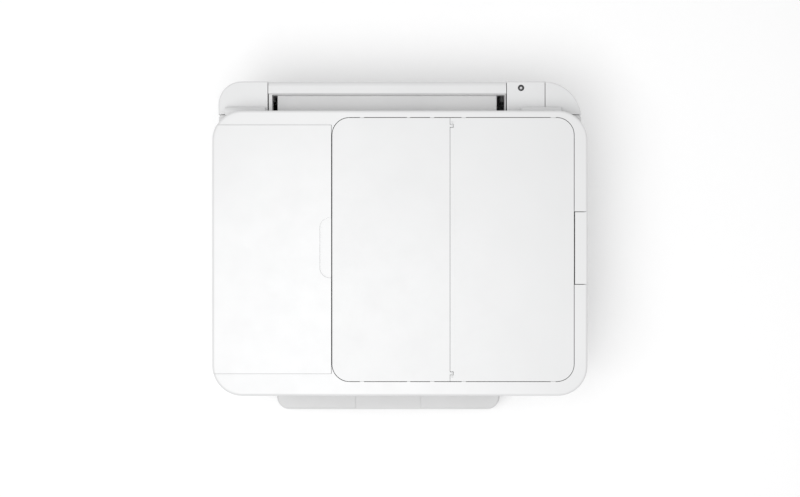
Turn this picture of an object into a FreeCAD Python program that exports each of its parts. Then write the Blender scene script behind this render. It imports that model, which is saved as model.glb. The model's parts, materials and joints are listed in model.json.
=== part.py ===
import FreeCAD, Part
import math
import os

# Inkjet all-in-one printer with a document feeder in its lid. Millimetres, +Z up,
# +X to the right seen from the front, +Y to the rear, Z = 0 on the table.

V = FreeCAD.Vector

# Overall sizes
WIDTH = 440.0
DEPTH = 422.0
WALL = 2.6
SEAM = 0.8
RUNNING = 0.05

# Heights of the stages, from the table up
FOOT_H = 4.0
FLOOR_T = 3.0
DRAWER_H = 41.0
TRAY_H = 7.0
OUTLET_H = 42.0
DOOR_H = 44.0
PANEL_H = 40.0
BED_H = 36.0
LID_H = 49.0

# Plan layout
BULGE = 44.0
DECK_DEPTH = 41.0
LEFT_PILLAR = 51.0
RIGHT_PILLAR = 83.0
DRAWER_CORNER_R = 17.0
CASE_FRONT_R = 12.0
CASE_REAR_LEFT_R = 28.0
CASE_REAR_RIGHT_R = 46.0
LID_CORNER_R = 35.0
ADF_WIDTH = 140.0
ADF_FRONT_RIM = 26.0
ADF_REAR_RIM = 17.0
TRAY_FRONT_RIM = 16.5
TRAY_REAR_RIM = 8.0
TRAY_RIGHT_RIM = 16.0
TRAY_CORNER_R = 21.0
FLAP_WIDTH = 138.7

# Edge coordinates that the layout gives
X0 = -WIDTH / 2
X1 = WIDTH / 2
Y0 = -DEPTH / 2
Y1 = DEPTH / 2
BODY_Y0 = Y0 + BULGE
LID_Y0 = BODY_Y0 + 3.0
LID_Y1 = Y1 - DECK_DEPTH
BAY_X0 = X0 + LEFT_PILLAR
BAY_X1 = X1 - RIGHT_PILLAR
BAY_MID = (BAY_X0 + BAY_X1) / 2
COVER_X0 = X0 + 60.0
COVER_X1 = X1 - 91.0
BLOCK_X1 = X1 - 44.3

CASE_Z0 = FOOT_H + FLOOR_T
DRAWER_Z0 = CASE_Z0 + 2.5
DRAWER_Z1 = DRAWER_Z0 + DRAWER_H
TRAY_Z0 = DRAWER_Z1 + 3.5
TRAY_Z1 = TRAY_Z0 + TRAY_H
DOOR_Z0 = TRAY_Z1 + OUTLET_H + 4.0
DOOR_Z1 = DOOR_Z0 + DOOR_H
PANEL_Z0 = DOOR_Z1 + 1.5
PANEL_Z1 = PANEL_Z0 + PANEL_H
BED_Z0 = PANEL_Z1 + 1.0
DECK_Z = BED_Z0 + BED_H
LID_Z0 = DECK_Z + 1.0
LID_Z1 = LID_Z0 + LID_H
BACK_Z = DOOR_Z0 + 14.0


def box(xa, xb, ya, yb, za, zb):
    return Part.makeBox(xb - xa, yb - ya, zb - za, V(xa, ya, za))


def rod_x(xa, xb, y, z, radius):
    return Part.makeCylinder(radius, xb - xa, V(xa, y, z), V(1, 0, 0))


def rod_y(ya, yb, x, z, radius):
    return Part.makeCylinder(radius, yb - ya, V(x, ya, z), V(0, 1, 0))


def rod_z(za, zb, x, y, radius):
    return Part.makeCylinder(radius, zb - za, V(x, y, za), V(0, 0, 1))


def fuse(*shapes):
    whole = shapes[0]
    for shape in shapes[1:]:
        whole = whole.fuse(shape)
    return whole.removeSplitter()


def cut(whole, *tools):
    for tool in tools:
        whole = whole.cut(tool)
    return whole


def slab(xa, xb, ya, yb, za, zb, radii):
    """Plate with its four upright corners rounded: front left, front right, rear right, rear left."""
    corners = [(xa, ya, 1, 1), (xb, ya, -1, 1), (xb, yb, -1, -1), (xa, yb, 1, -1)]
    ends = []
    arcs = []
    for (x, y, sx, sy), r in zip(corners, radii):
        along_x = V(x + sx * r, y, za)
        along_y = V(x, y + sy * r, za)
        back = r * (1 - math.sqrt(0.5))
        middle = V(x + sx * back, y + sy * back, za)
        first, last = (along_y, along_x) if sx == sy else (along_x, along_y)
        ends.append((first, last))
        arcs.append(Part.Arc(first, middle, last).toShape() if r > 0 else None)
    edges = []
    for i in range(4):
        if arcs[i]:
            edges.append(arcs[i])
        edges.append(Part.makeLine(ends[i][1], ends[(i + 1) % 4][0]))
    return Part.Face(Part.Wire(edges)).extrude(V(0, 0, zb - za))


def soften(shape, radius, z):
    """Round the horizontal edges that lie at height z."""
    edges = [e for e in shape.Edges if abs(e.BoundBox.ZMin - z) < 1e-6 and abs(e.BoundBox.ZMax - z) < 1e-6]
    return shape.makeFillet(radius, edges)


def gear_wire(axis, a, b, start, teeth, module, phase):
    """Closed outline of a spur gear in the plane across its axis, with running backlash."""
    pitch = 360.0 / teeth
    root = module * (teeth / 2.0 - 1.2)
    tip = module * (teeth / 2.0 + 0.9)
    outline = [(root, -0.29), (tip, -0.10), (tip, 0.10), (root, 0.29)]
    points = []
    for i in range(teeth):
        for radius, share in outline:
            angle = math.radians(phase + (i + share) * pitch)
            u = a + radius * math.cos(angle)
            w = b + radius * math.sin(angle)
            points.append(V(start, u, w) if axis == "x" else V(u, start, w))
    points.append(points[0])
    return Part.makePolygon(points)


def gear(axis, a, b, start, length, teeth, module, phase):
    along = V(length, 0, 0) if axis == "x" else V(0, length, 0)
    return Part.Face(gear_wire(axis, a, b, start, teeth, module, phase)).extrude(along)


def meshed_phase(phase, teeth, other_teeth, bearing):
    """Phase of a gear that meshes with a first gear, seen from the first at the given bearing."""
    share = ((bearing - phase) * teeth / 360.0) % 1.0
    return bearing + 180.0 - (0.5 - share) * 360.0 / other_teeth


# Case

FOOT_R = 9.0
FOOT_INSET = 32.0
BACK_INSET = 0.6
PIVOT_IN = 2.6
PIVOT_R = 1.0
REAR_AXIS_Y = Y1 - PIVOT_IN
REAR_AXIS_Z = BACK_Z + 1.5 + PIVOT_IN
INLET_X = X0 + 44.0
INLET_Z = 30.0
INLET_W = 24.0
INLET_H = 17.0
PORT_Z = 150.0
USB_W = 13.0
USB_H = 12.0
NET_Z = PORT_Z - 24.0
NET_W = 16.5
NET_H = 14.0
SCREW_R = 3.6
SHANK_R = 1.5
SCREW_SEAT = 3.0
SCREW_BOSS_R = 5.4
SCREW_BOSS_H = 14.0
SCREW_X = X1 - 73.4
SCREW_Y = Y1 - 8.0
RECESS_X0 = COVER_X0 + 1.0
RECESS_X1 = COVER_X1 - 1.0
RECESS_WALL = 0.9
RECESS_LANDS = (4.0, 1.0)
RECESS_SLOTS = (5.5, 9.0)
RECESS_Y1 = Y1 - 15.0
RECESS_DEPTH = 12.0
HINGE_OFFSET = 3.8
HINGE_Y = LID_Y1 + HINGE_OFFSET
HINGE_Z = DECK_Z + 7.0
HINGE_PIN_R = 1.8
HINGE_EAR_R = 3.4
HINGE_CAP_R = 5.2
HINGE_CLEAR = 0.4
HINGE_EAR = 9.0
HINGE_HALF = 24.0
LEFT_HINGE_X = X0 + 34.0
RIGHT_HINGE_X = X1 - 50.5
HOUSING_T = 1.2


def feet_centres():
    inset = FOOT_INSET
    return [(x, y) for x in (X0 + inset, X1 - inset) for y in (BODY_Y0 + inset, Y1 - inset - 20)]


def case_outline(inset, za, zb):
    radii = (CASE_FRONT_R, CASE_FRONT_R, CASE_REAR_RIGHT_R, CASE_REAR_LEFT_R)
    return slab(X0 + inset, X1 - inset, BODY_Y0 + inset, Y1 - inset, za, zb, [r - inset for r in radii])


def case_shell():
    """Upright walls up to the scanner, a step up behind the lid, and the deck on top of the step."""
    outer = soften(case_outline(0, CASE_Z0, DECK_Z), 2.0, DECK_Z)
    hollow = case_outline(WALL, CASE_Z0 - 1, DECK_Z - WALL)
    above_front = box(X0 - 1, X1 + 1, BODY_Y0 - 1, LID_Y1 + 1.0, BED_Z0 - SEAM / 2, DECK_Z + 1)
    return cut(outer, hollow, above_front)


def base_pan():
    gap = WALL + 0.4
    floor = case_outline(gap, FOOT_H, CASE_Z0)
    rim = cut(case_outline(gap, CASE_Z0, CASE_Z0 + 6), case_outline(gap + 2.2, CASE_Z0, CASE_Z0 + 6))
    rim = cut(rim, box(BAY_X0, BAY_X1, BODY_Y0 - 1, 0, CASE_Z0 - 1, CASE_Z0 + 7))
    wells = [rod_z(FOOT_H - 1, FOOT_H + 1.2, x, y, FOOT_R) for x, y in feet_centres()]
    back = box(COVER_X0 + SEAM, COVER_X1 - SEAM, Y1 - WALL - BACK_INSET, Y1 - BACK_INSET, CASE_Z0, BACK_Z)
    rails = [box(x - RAIL_T / 2, x + RAIL_T / 2, BODY_Y0 + 6, REAR_STOP_Y, CASE_Z0, CASE_Z0 + RAIL_H)
             for x in (BAY_X0, BAY_X1)]
    stops = [rod_z(CASE_Z0, CASE_Z0 + 14, x, REAR_STOP_Y + 5, 5) for x in (BAY_X0 + 20, BAY_X1 - 20)]
    return fuse(cut(floor, *wells), rim, back, *stops, *rails)


def rubber_feet():
    pads = []
    for x, y in feet_centres():
        pad = rod_z(0, FOOT_H + 1.2, x, y, FOOT_R)
        pads.append(pad.makeChamfer(0.8, [e for e in pad.Edges if e.BoundBox.ZMax < 0.01]))
    return Part.makeCompound(pads)


def hinge_ears(x):
    """Two upright ears with the bores for a lid hinge pin."""
    ears = []
    inner = HINGE_HALF - HINGE_CLEAR - HINGE_EAR
    for left in (x - HINGE_HALF + HINGE_CLEAR, x + inner):
        foot = box(left, left + HINGE_EAR, HINGE_Y - 2.6, HINGE_Y + 0.6, DECK_Z, HINGE_Z)
        ears.append(fuse(foot, rod_x(left, left + HINGE_EAR, HINGE_Y, HINGE_Z, HINGE_EAR_R)))
    bore = rod_x(x - HINGE_HALF, x + HINGE_HALF, HINGE_Y, HINGE_Z, HINGE_PIN_R)
    return cut(fuse(*ears), bore)


def front_pivots(xa, xb):
    """Bosses for the pins of the front door and of the control panel, and the bores through them."""
    heights = (DOOR_Z0 + PIVOT_IN, PANEL_Z1 - PIVOT_IN)
    bosses = [box(xa, xb, BODY_Y0 + 0.2, BODY_Y0 + 7, z - 2.4, z + 2.4) for z in heights]
    bores = [rod_x(xa - 1, xb + 1, BODY_Y0 + PIVOT_IN, z, PIVOT_R + RUNNING) for z in heights]
    return bosses, bores


def end_pins(left, right, z):
    """Pivot pins standing out of the two ends of a front panel."""
    pins = []
    for xa, xb in ((left - 3, left + WALL), (right - WALL, right + 3)):
        pins.append(rod_x(xa, xb, BODY_Y0 + PIVOT_IN, z, PIVOT_R))
    return pins


def left_side_cover():
    shell = case_shell()
    front = box(X0 - 1, BAY_X0 - SEAM / 2, Y0, 0, 0, DECK_Z + 1)
    rear = box(X0 - 1, COVER_X0 - SEAM / 2, -1, Y1 + 1, 0, DECK_Z + 1)
    rib = box(COVER_X0 - SEAM / 2 - 4, COVER_X0 - SEAM / 2, Y1 - 14, Y1 - WALL, BACK_Z - 20, BACK_Z + 20)
    pivot = rod_x(COVER_X0 - 4, COVER_X0 + 1, REAR_AXIS_Y, REAR_AXIS_Z, PIVOT_R + RUNNING)
    inlet = box(INLET_X - INLET_W / 2, INLET_X + INLET_W / 2, Y1 - 9, Y1 + 1, INLET_Z - INLET_H / 2,
                INLET_Z + INLET_H / 2)
    bosses, bores = front_pivots(BAY_X0 - SEAM / 2 - 4, BAY_X0 - SEAM / 2)
    body = fuse(shell.common(fuse(front, rear)), rib, hinge_ears(LEFT_HINGE_X), *bosses)
    return cut(body, inlet, pivot, *bores)


def right_side_cover():
    shell = case_shell()
    front = box(BAY_X1 + SEAM / 2, X1 + 1, Y0, 0, 0, DECK_Z + 1)
    rear = box(BLOCK_X1 + SEAM / 2, X1 + 1, -1, Y1 + 1, 0, DECK_Z + 1)
    bosses, bores = front_pivots(BAY_X1 + SEAM / 2, BAY_X1 + SEAM / 2 + 4)
    return cut(fuse(shell.common(fuse(front, rear)), *bosses), *bores)


def rear_block():
    part = case_shell().common(box(COVER_X1 + SEAM / 2, BLOCK_X1 - SEAM / 2, LID_Y1, Y1 + 1, 0, DECK_Z + 1))
    left = COVER_X1 + SEAM / 2
    rib = box(left, left + 4, Y1 - 14, Y1 - WALL, BACK_Z - 20, BACK_Z + 20)
    pivot = rod_x(left - 1, left + 4, REAR_AXIS_Y, REAR_AXIS_Z, PIVOT_R + RUNNING)
    inside = box(left, X1, 0, Y1 - 1, 0, DECK_Z)
    boss = rod_z(DECK_Z - SCREW_BOSS_H, DECK_Z - WALL, SCREW_X, SCREW_Y, SCREW_BOSS_R).common(inside)
    well = rod_z(DECK_Z - SCREW_SEAT, DECK_Z + 1, SCREW_X, SCREW_Y, SCREW_R + 0.3)
    hole = rod_z(DECK_Z - SCREW_BOSS_H - 1, DECK_Z, SCREW_X, SCREW_Y, SHANK_R)
    mid = (COVER_X1 + BLOCK_X1) / 2
    bosses = [rod_y(BOARD_Y + BOARD_T, Y1 - WALL, mid, z, 3) for z in (BOARD_Z0 + 8, BOARD_Z1 - 8)]
    usb = box(mid - USB_W / 2, mid + USB_W / 2, Y1 - 9, Y1 + 1, PORT_Z - USB_H / 2, PORT_Z + USB_H / 2)
    net = box(mid - NET_W / 2, mid + NET_W / 2, Y1 - 9, Y1 + 1, NET_Z - NET_H / 2, NET_Z + NET_H / 2)
    return cut(fuse(part, rib, boss, *bosses), pivot, well, hole, usb, net)


def deck_screw():
    head = rod_z(DECK_Z - SCREW_SEAT, DECK_Z - 0.8, SCREW_X, SCREW_Y, SCREW_R)
    shank = rod_z(DECK_Z - 12, DECK_Z - SCREW_SEAT, SCREW_X, SCREW_Y, SHANK_R)
    slot_a = box(SCREW_X - 2.2, SCREW_X + 2.2, SCREW_Y - 0.5, SCREW_Y + 0.5, DECK_Z - 1.8, DECK_Z)
    slot_b = box(SCREW_X - 0.5, SCREW_X + 0.5, SCREW_Y - 2.2, SCREW_Y + 2.2, DECK_Z - 1.8, DECK_Z)
    return cut(fuse(head, shank), slot_a, slot_b)


def rear_cover():
    left = COVER_X0 + SEAM / 2
    right = COVER_X1 - SEAM / 2
    outer = slab(left, right, RECESS_Y1, Y1, BACK_Z + 1.5, DECK_Z, (0, 0, 0, 0))
    edge = [e for e in outer.Edges if e.BoundBox.YMin > Y1 - 0.01 and e.BoundBox.ZMin > DECK_Z - 0.01]
    outer = outer.makeFillet(6.0, edge)
    low = [e for e in outer.Edges if e.BoundBox.YMin > Y1 - 0.01 and e.BoundBox.ZMax < BACK_Z + 1.6]
    outer = outer.makeFillet(2.0, low)
    hollow = box(left + WALL, right - WALL, RECESS_Y1 - 1, Y1 - WALL, BACK_Z, DECK_Z - WALL)
    skin = cut(outer, hollow)
    keep = box(left, right, Y1 - 9, Y1, BACK_Z, DECK_Z - 12)
    skin = skin.common(fuse(keep, box(left, right, RECESS_Y1, Y1, DECK_Z - 12, DECK_Z)))
    ends = rod_x(left - 3, right + 3, REAR_AXIS_Y, REAR_AXIS_Z, PIVOT_R)
    ends = cut(ends, box(left + WALL, right - WALL, 0, Y1, 0, DECK_Z))
    count = 9
    pitch = (right - left - 40) / (count - 1)
    ribs = [box(left + 19 + i * pitch, left + 21 + i * pitch, Y1 - 9, Y1 - WALL, BACK_Z + 12, DECK_Z - 14)
            for i in range(count)]
    return fuse(skin, ends, *ribs)


def deck_recess():
    """Sunken channel between the lid and the rear cover, with a deep slot at each end."""
    floor_z = DECK_Z - RECESS_DEPTH
    back = RECESS_Y1 - 0.3
    outer = box(RECESS_X0, RECESS_X1, LID_Y1 + 1.0, back, floor_z - 2, DECK_Z - 0.5)
    front = LID_Y1 + 1.0 + RECESS_WALL
    rear = back - RECESS_WALL
    left_slot = RECESS_X0 + RECESS_LANDS[0]
    right_slot = RECESS_X1 - RECESS_LANDS[1]
    pocket_x0 = left_slot + RECESS_SLOTS[0]
    pocket_x1 = right_slot - RECESS_SLOTS[1]
    pocket = box(pocket_x0, pocket_x1, front, rear, floor_z, DECK_Z)
    slots = [box(xa, xb, front, rear, floor_z - 3, DECK_Z)
             for xa, xb in ((left_slot, pocket_x0), (pocket_x1, right_slot))]
    return cut(outer, pocket, *slots)


def right_hinge_housing():
    """Plate with the two ears of the right hinge, clipped on the deck."""
    plate = box(RIGHT_HINGE_X - HINGE_HALF, RIGHT_HINGE_X + HINGE_HALF, HINGE_Y - 2.6, HINGE_Y + HINGE_CAP_R,
                DECK_Z, DECK_Z + HOUSING_T)
    return fuse(plate, hinge_ears(RIGHT_HINGE_X))


def lid_hinge_pins():
    half = HINGE_HALF - HINGE_CLEAR
    return Part.makeCompound([rod_x(x - half, x + half, HINGE_Y, HINGE_Z, HINGE_PIN_R)
                              for x in (LEFT_HINGE_X, RIGHT_HINGE_X)])


# Front

def front_frame():
    """Posts and cross bars that carry the front door and the control panel."""
    ya = BODY_Y0 + 12.5
    yb = ya + 6
    outer = box(BAY_X0 - 8, BAY_X1 + 8, ya, yb, TRAY_Z0, BED_Z0 - SEAM)
    outlet = box(BAY_X0 + 2, BAY_X1 - 2, ya - 1, yb + 1, TRAY_Z0 - 1, DOOR_Z0 - 3.5)
    window = box(BAY_X0 + 2, BAY_X1 - 2, ya - 1, yb + 1, DOOR_Z0 + 1, DOOR_Z1)
    bay = box(BAY_X0 + 14, BAY_X1 - 14, ya - 1, yb + 1, PANEL_Z0 + 4, PANEL_Z1 - 8)
    return cut(outer, outlet, window, bay)


def front_door():
    left = BAY_X0 + SEAM / 2
    right = BAY_X1 - SEAM / 2
    panel = slab(left, right, BODY_Y0, BODY_Y0 + 8, DOOR_Z0, DOOR_Z1, (0, 0, 0, 0))
    hollow = box(left + WALL, right - WALL, BODY_Y0 + WALL, BODY_Y0 + 9, DOOR_Z0 + WALL, DOOR_Z1 - WALL)
    mid = (left + right) / 2
    grip = box(mid - 30, mid + 30, BODY_Y0 - 1, BODY_Y0 + 1.4, DOOR_Z1 - 7, DOOR_Z1 + 1)
    edge = [e for e in panel.Edges if e.BoundBox.YMax < BODY_Y0 + 0.01 and e.BoundBox.ZMax < DOOR_Z0 + 0.01]
    panel = panel.makeFillet(2.2, edge)
    return fuse(cut(panel, hollow, grip), *end_pins(left, right, DOOR_Z0 + PIVOT_IN))


def control_panel():
    left = BAY_X0 + SEAM / 2
    right = BAY_X1 - SEAM / 2
    outer = slab(left, right, BODY_Y0, BODY_Y0 + 8.5, PANEL_Z0, PANEL_Z1, (0, 0, 0, 0))
    edge = [e for e in outer.Edges
            if e.BoundBox.YMax < BODY_Y0 + 0.01 and e.BoundBox.ZMin > PANEL_Z1 - 0.01]
    outer = outer.makeFillet(2.2, edge)
    hollow = box(left + WALL, right - WALL, BODY_Y0 + 5, BODY_Y0 + 10, PANEL_Z0 + WALL, PANEL_Z1 - WALL)
    screen = box(SCREEN_X0, SCREEN_X1, BODY_Y0 - 1, BODY_Y0 + 1.6, SCREEN_Z0, SCREEN_Z1)
    bore = Part.makeCylinder(BUTTON_R + 0.35, 20, V(BUTTON_X, BODY_Y0 - 5, BUTTON_Z), V(0, 1, 0))
    return fuse(cut(outer, hollow, screen, bore), *end_pins(left, right, PANEL_Z1 - PIVOT_IN))


SCREEN_X0 = BAY_MID - 38
SCREEN_X1 = BAY_MID + 38
SCREEN_Z0 = PANEL_Z0 + 4
SCREEN_Z1 = PANEL_Z1 - 4
BUTTON_R = 6.0
BUTTON_X = BAY_X0 + 30
BUTTON_Z = (PANEL_Z0 + PANEL_Z1) / 2


def touch_screen():
    gap = 0.2
    return box(SCREEN_X0 + gap, SCREEN_X1 - gap, BODY_Y0 + 0.1, BODY_Y0 + 1.6,
               SCREEN_Z0 + gap, SCREEN_Z1 - gap)


def power_button():
    stem = Part.makeCylinder(BUTTON_R, 5.6, V(BUTTON_X, BODY_Y0 - 0.6, BUTTON_Z), V(0, 1, 0))
    flange = Part.makeCylinder(BUTTON_R + 1.2, 1.0, V(BUTTON_X, BODY_Y0 + 5.0, BUTTON_Z), V(0, 1, 0))
    ring = cut(Part.makeCylinder(3.2, 0.5, V(BUTTON_X, BODY_Y0 - 0.7, BUTTON_Z), V(0, 1, 0)),
               Part.makeCylinder(2.4, 2.0, V(BUTTON_X, BODY_Y0 - 1.0, BUTTON_Z), V(0, 1, 0)))
    return cut(fuse(stem, flange), ring)


# Scanner bed

BED_INSET = 0.5
BED_FLOOR = 2.5
BEZEL_T = 3.0
GLASS_T = 3.0
GLASS_X0 = X0 + 57.0
GLASS_X1 = X1 - 83.0
GLASS_MARGIN = 101.0
GLASS_HALF = Y1 - GLASS_MARGIN
STRIP_X0 = X0 + 26.0
STRIP_X1 = X0 + 44.0
GLASS_LAP = 3.0
BEZEL_Z1 = DECK_Z - 1.5
BEZEL_Z0 = BEZEL_Z1 - BEZEL_T
RAIL_Z = BED_Z0 + 6.0
RAIL_HALF = 4.0
HEAD_W = 20.0


def bed_outline(inset, za, zb):
    radii = [r - inset for r in (LID_CORNER_R - 4, LID_CORNER_R - 4, 4.0, 4.0)]
    left = X0 + BED_INSET + inset
    return slab(left, -left, LID_Y0 - 1.5 + inset, LID_Y1 + 0.6 - inset, za, zb, radii)


def scanner_bed():
    """Tub under the glass, with the straight rail that the scan head runs on."""
    tub = cut(bed_outline(0, BED_Z0, BEZEL_Z0), bed_outline(WALL, BED_Z0 + BED_FLOOR, DECK_Z))
    rail = box(STRIP_X0 - 8, GLASS_X1 + 14, -RAIL_HALF, RAIL_HALF, BED_Z0 + BED_FLOOR, RAIL_Z)
    posts = []
    for x in (X0 + 12, X1 - 12):
        for y in (-GLASS_HALF, 0, GLASS_HALF):
            posts.append(rod_z(BED_Z0 + BED_FLOOR, BEZEL_Z0, x, y, 4))
    return fuse(tub, rail, *posts)


def window(xa, xb, half, lap):
    """Through window with a pocket below that takes a glass wider by the lap."""
    through = box(xa, xb, -half, half, BEZEL_Z0 - 5, BEZEL_Z1 + 1)
    pocket = box(xa - lap, xb + lap, -half - lap, half + lap, BEZEL_Z0 - 5, BEZEL_Z0 + 1.5)
    return fuse(through, pocket)


def scanner_bezel():
    plate = soften(bed_outline(0, BEZEL_Z0, BEZEL_Z1), 1.0, BEZEL_Z1)
    return cut(plate, window(GLASS_X0, GLASS_X1, GLASS_HALF, GLASS_LAP + 0.2),
               window(STRIP_X0, STRIP_X1, GLASS_HALF, GLASS_LAP + 0.2))


def glass(xa, xb):
    top = BEZEL_Z0 + 1.5
    lap = GLASS_LAP
    return box(xa - lap, xb + lap, -GLASS_HALF - lap, GLASS_HALF + lap, top - GLASS_T, top)


def platen_glass():
    return glass(GLASS_X0, GLASS_X1)


def adf_glass_strip():
    return glass(STRIP_X0, STRIP_X1)


def scan_head():
    """Contact sensor bar that straddles the rail and reads through the glass above it."""
    left = (STRIP_X0 + STRIP_X1 - HEAD_W) / 2
    top = BEZEL_Z0 + 1.5 - GLASS_T - 0.6
    bar = box(left, left + HEAD_W, -GLASS_HALF - 1, GLASS_HALF + 1, RAIL_Z + 4, top)
    lens = box(left + 8, left + 12, -GLASS_HALF + 1, GLASS_HALF - 1, top - 1.2, top + 1)
    shoe = box(left, left + HEAD_W, -RAIL_HALF - 5, RAIL_HALF + 5, BED_Z0 + BED_FLOOR + 0.6, RAIL_Z + 4)
    groove = box(left - 1, left + HEAD_W + 1, -RAIL_HALF - 0.1, RAIL_HALF + 0.1, BED_Z0, RAIL_Z + 0.1)
    return cut(fuse(bar, shoe), groove, lens)


# Lid

LID_FLOOR = 3.0
LID_PLATE_T = 4.0
PAN_Z0 = LID_Z0 + LID_PLATE_T
PAN_Z1 = LID_Z1 - 1.5
POCKET_Z = PAN_Z0 + 12.0
ADF_X1 = X0 + ADF_WIDTH
ADF_Y0 = LID_Y0 + ADF_FRONT_RIM
ADF_Y1 = LID_Y1 - ADF_REAR_RIM
TRAY_X0 = ADF_X1
TRAY_X1 = X1 - TRAY_RIGHT_RIM
TRAY_Y0 = LID_Y0 + TRAY_FRONT_RIM
TRAY_Y1 = LID_Y1 - TRAY_REAR_RIM
STOP_Y0 = LID_Y0 + 131.0
STOP_Y1 = LID_Y0 + 215.0
STOP_X0 = X1 - 72.0
STOP_T = 3.0
STOP_INSET = 12.0
TRAY_PADS = ((33.0, 5.0), (88.0, 4.0), (115.0, 5.0), (152.0, 5.0), (256.0, 6.0))
PAD_REACH = 0.55
COVER_AXIS_X = X0 + 7.5
COVER_AXIS_Z = PAN_Z0 + 10.0
COVER_PIN_R = 2.0
TRAY_AXIS_X = TRAY_X0 + 20.0
TRAY_AXIS_Z = PAN_Z1 - 5.5
TRAY_PIN_R = 1.5


def lid_outline(inset, za, zb):
    left = X0 + BED_INSET + inset
    return slab(left, -left, LID_Y0 + inset, LID_Y1 - inset, za, zb, [LID_CORNER_R - inset] * 4)


def tray_pocket(grow, za, zb):
    radii = [TRAY_CORNER_R + grow] * 4
    return slab(TRAY_X0 - grow, TRAY_X1 + grow, TRAY_Y0 - grow, TRAY_Y1 + grow, za, zb, radii)


def hinge_cap(x):
    """Rounded cover of a hinge. Its solid middle turns on the pin, and its ends arch over the ears."""
    xa = x - HINGE_HALF
    xb = x + HINGE_HALF
    bar = rod_x(xa, xb, HINGE_Y, HINGE_Z, HINGE_CAP_R)
    web = box(xa, xb, LID_Y1 - 1.5, HINGE_Y, PAN_Z0, HINGE_Z + HINGE_CAP_R)
    rooms = []
    reach = HINGE_EAR + 2 * HINGE_CLEAR
    for left in (xa, xb - reach):
        rooms.append(rod_x(left, left + reach, HINGE_Y, HINGE_Z, HINGE_EAR_R + HINGE_CLEAR))
        rooms.append(box(left, left + reach, LID_Y1, HINGE_Y + 9, DECK_Z, HINGE_Z))
    under_lid = box(xa, xb, HINGE_Y - 9, LID_Y1 + 0.1, DECK_Z, PAN_Z0)
    bore = rod_x(xa, xb, HINGE_Y, HINGE_Z, HINGE_PIN_R + RUNNING)
    return cut(fuse(bar, web), under_lid, bore, *rooms)


def pocket_spacers():
    """Small pads on the rim that keep the document tray centred in its gap."""
    pads = []
    for start, width in TRAY_PADS:
        xa = TRAY_X0 + start
        for y, way in ((TRAY_Y0, 1), (TRAY_Y1, -1)):
            ya, yb = span(y, way, -0.5, PAD_REACH)
            pads.append(box(xa, xa + width, ya, yb, PAN_Z1 - 4, PAN_Z1))
    return pads


def lid_pan():
    """White upper shell of the lid: rim, floor under the document tray, open bay for the feeder."""
    outer = soften(lid_outline(0, PAN_Z0, PAN_Z1), 3.0, PAN_Z1)
    bay = box(X0 - 1, ADF_X1, ADF_Y0, ADF_Y1, PAN_Z0 - 1, LID_Z1 + 1)
    wall = WALL
    under = lid_outline(wall, PAN_Z0 - 1, PAN_Z1 - wall)
    solid_bay = box(X0 - 1, ADF_X1 + wall, ADF_Y0 - wall, ADF_Y1 + wall, PAN_Z0 - 2, LID_Z1)
    under = cut(under, tray_pocket(wall, POCKET_Z - LID_FLOOR, LID_Z1), solid_bay)
    body = cut(outer, tray_pocket(0, POCKET_Z, LID_Z1 + 1), bay, under)
    for x in (LEFT_HINGE_X, RIGHT_HINGE_X):
        body = body.fuse(hinge_cap(x))
    lug_y = ((ADF_Y0 - wall - 3, ADF_Y0 - wall), (ADF_Y1 + wall, ADF_Y1 + wall + 3))
    inside = lid_outline(0.2, PAN_Z0, PAN_Z1)
    lugs = [rod_y(ya, yb, COVER_AXIS_X, COVER_AXIS_Z, 4).common(inside) for ya, yb in lug_y]
    body = fuse(body, *lugs, *pocket_spacers())
    pins = rod_y(ADF_Y0 - 4, ADF_Y1 + 4, COVER_AXIS_X, COVER_AXIS_Z, COVER_PIN_R + RUNNING)
    tray_pins = rod_y(TRAY_Y0 - 3, TRAY_Y1 + 3, TRAY_AXIS_X, TRAY_AXIS_Z, TRAY_PIN_R + RUNNING)
    tab = box(TRAY_X1 - 1, X1 + 1, STOP_Y0 - SEAM, STOP_Y1 + SEAM, POCKET_Z + 0.5, LID_Z1)
    groove = box(STOP_X0 - SEAM, X1 + 1, STOP_Y0 + STOP_INSET - SEAM, STOP_Y1 - STOP_INSET + SEAM,
                 POCKET_Z - 1.5, POCKET_Z + 1)
    body = cut(body, pins, tray_pins, tab)
    pad = box(STOP_X0 - 4, TRAY_X1 + 8, STOP_Y0 + 8, STOP_Y1 - 8, POCKET_Z - LID_FLOOR - 1.5, POCKET_Z - 1)
    return cut(fuse(body, pad), groove)


def lid_frame():
    """Bottom plate of the lid, with the slot over the feeder's glass strip."""
    plate = lid_outline(0, LID_Z0, PAN_Z0)
    slot = box(STRIP_X0 - 3, STRIP_X1 + 3, -GLASS_HALF, GLASS_HALF, LID_Z0 - 1, PAN_Z0 + 1)
    recess = box(GLASS_X0 - 4, GLASS_X1 + 4, -GLASS_HALF - 4, GLASS_HALF + 4, LID_Z0 - 1, LID_Z0 + 1.5)
    return cut(plate, slot, recess)


def lid_backing():
    """Foam pad faced with a white sheet that presses the page on the glass."""
    return slab(GLASS_X0 - 2, GLASS_X1 + 2, -GLASS_HALF - 2, GLASS_HALF + 2, BEZEL_Z1 + 0.4, LID_Z0 + 1.5,
                (2, 2, 2, 2))


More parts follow.
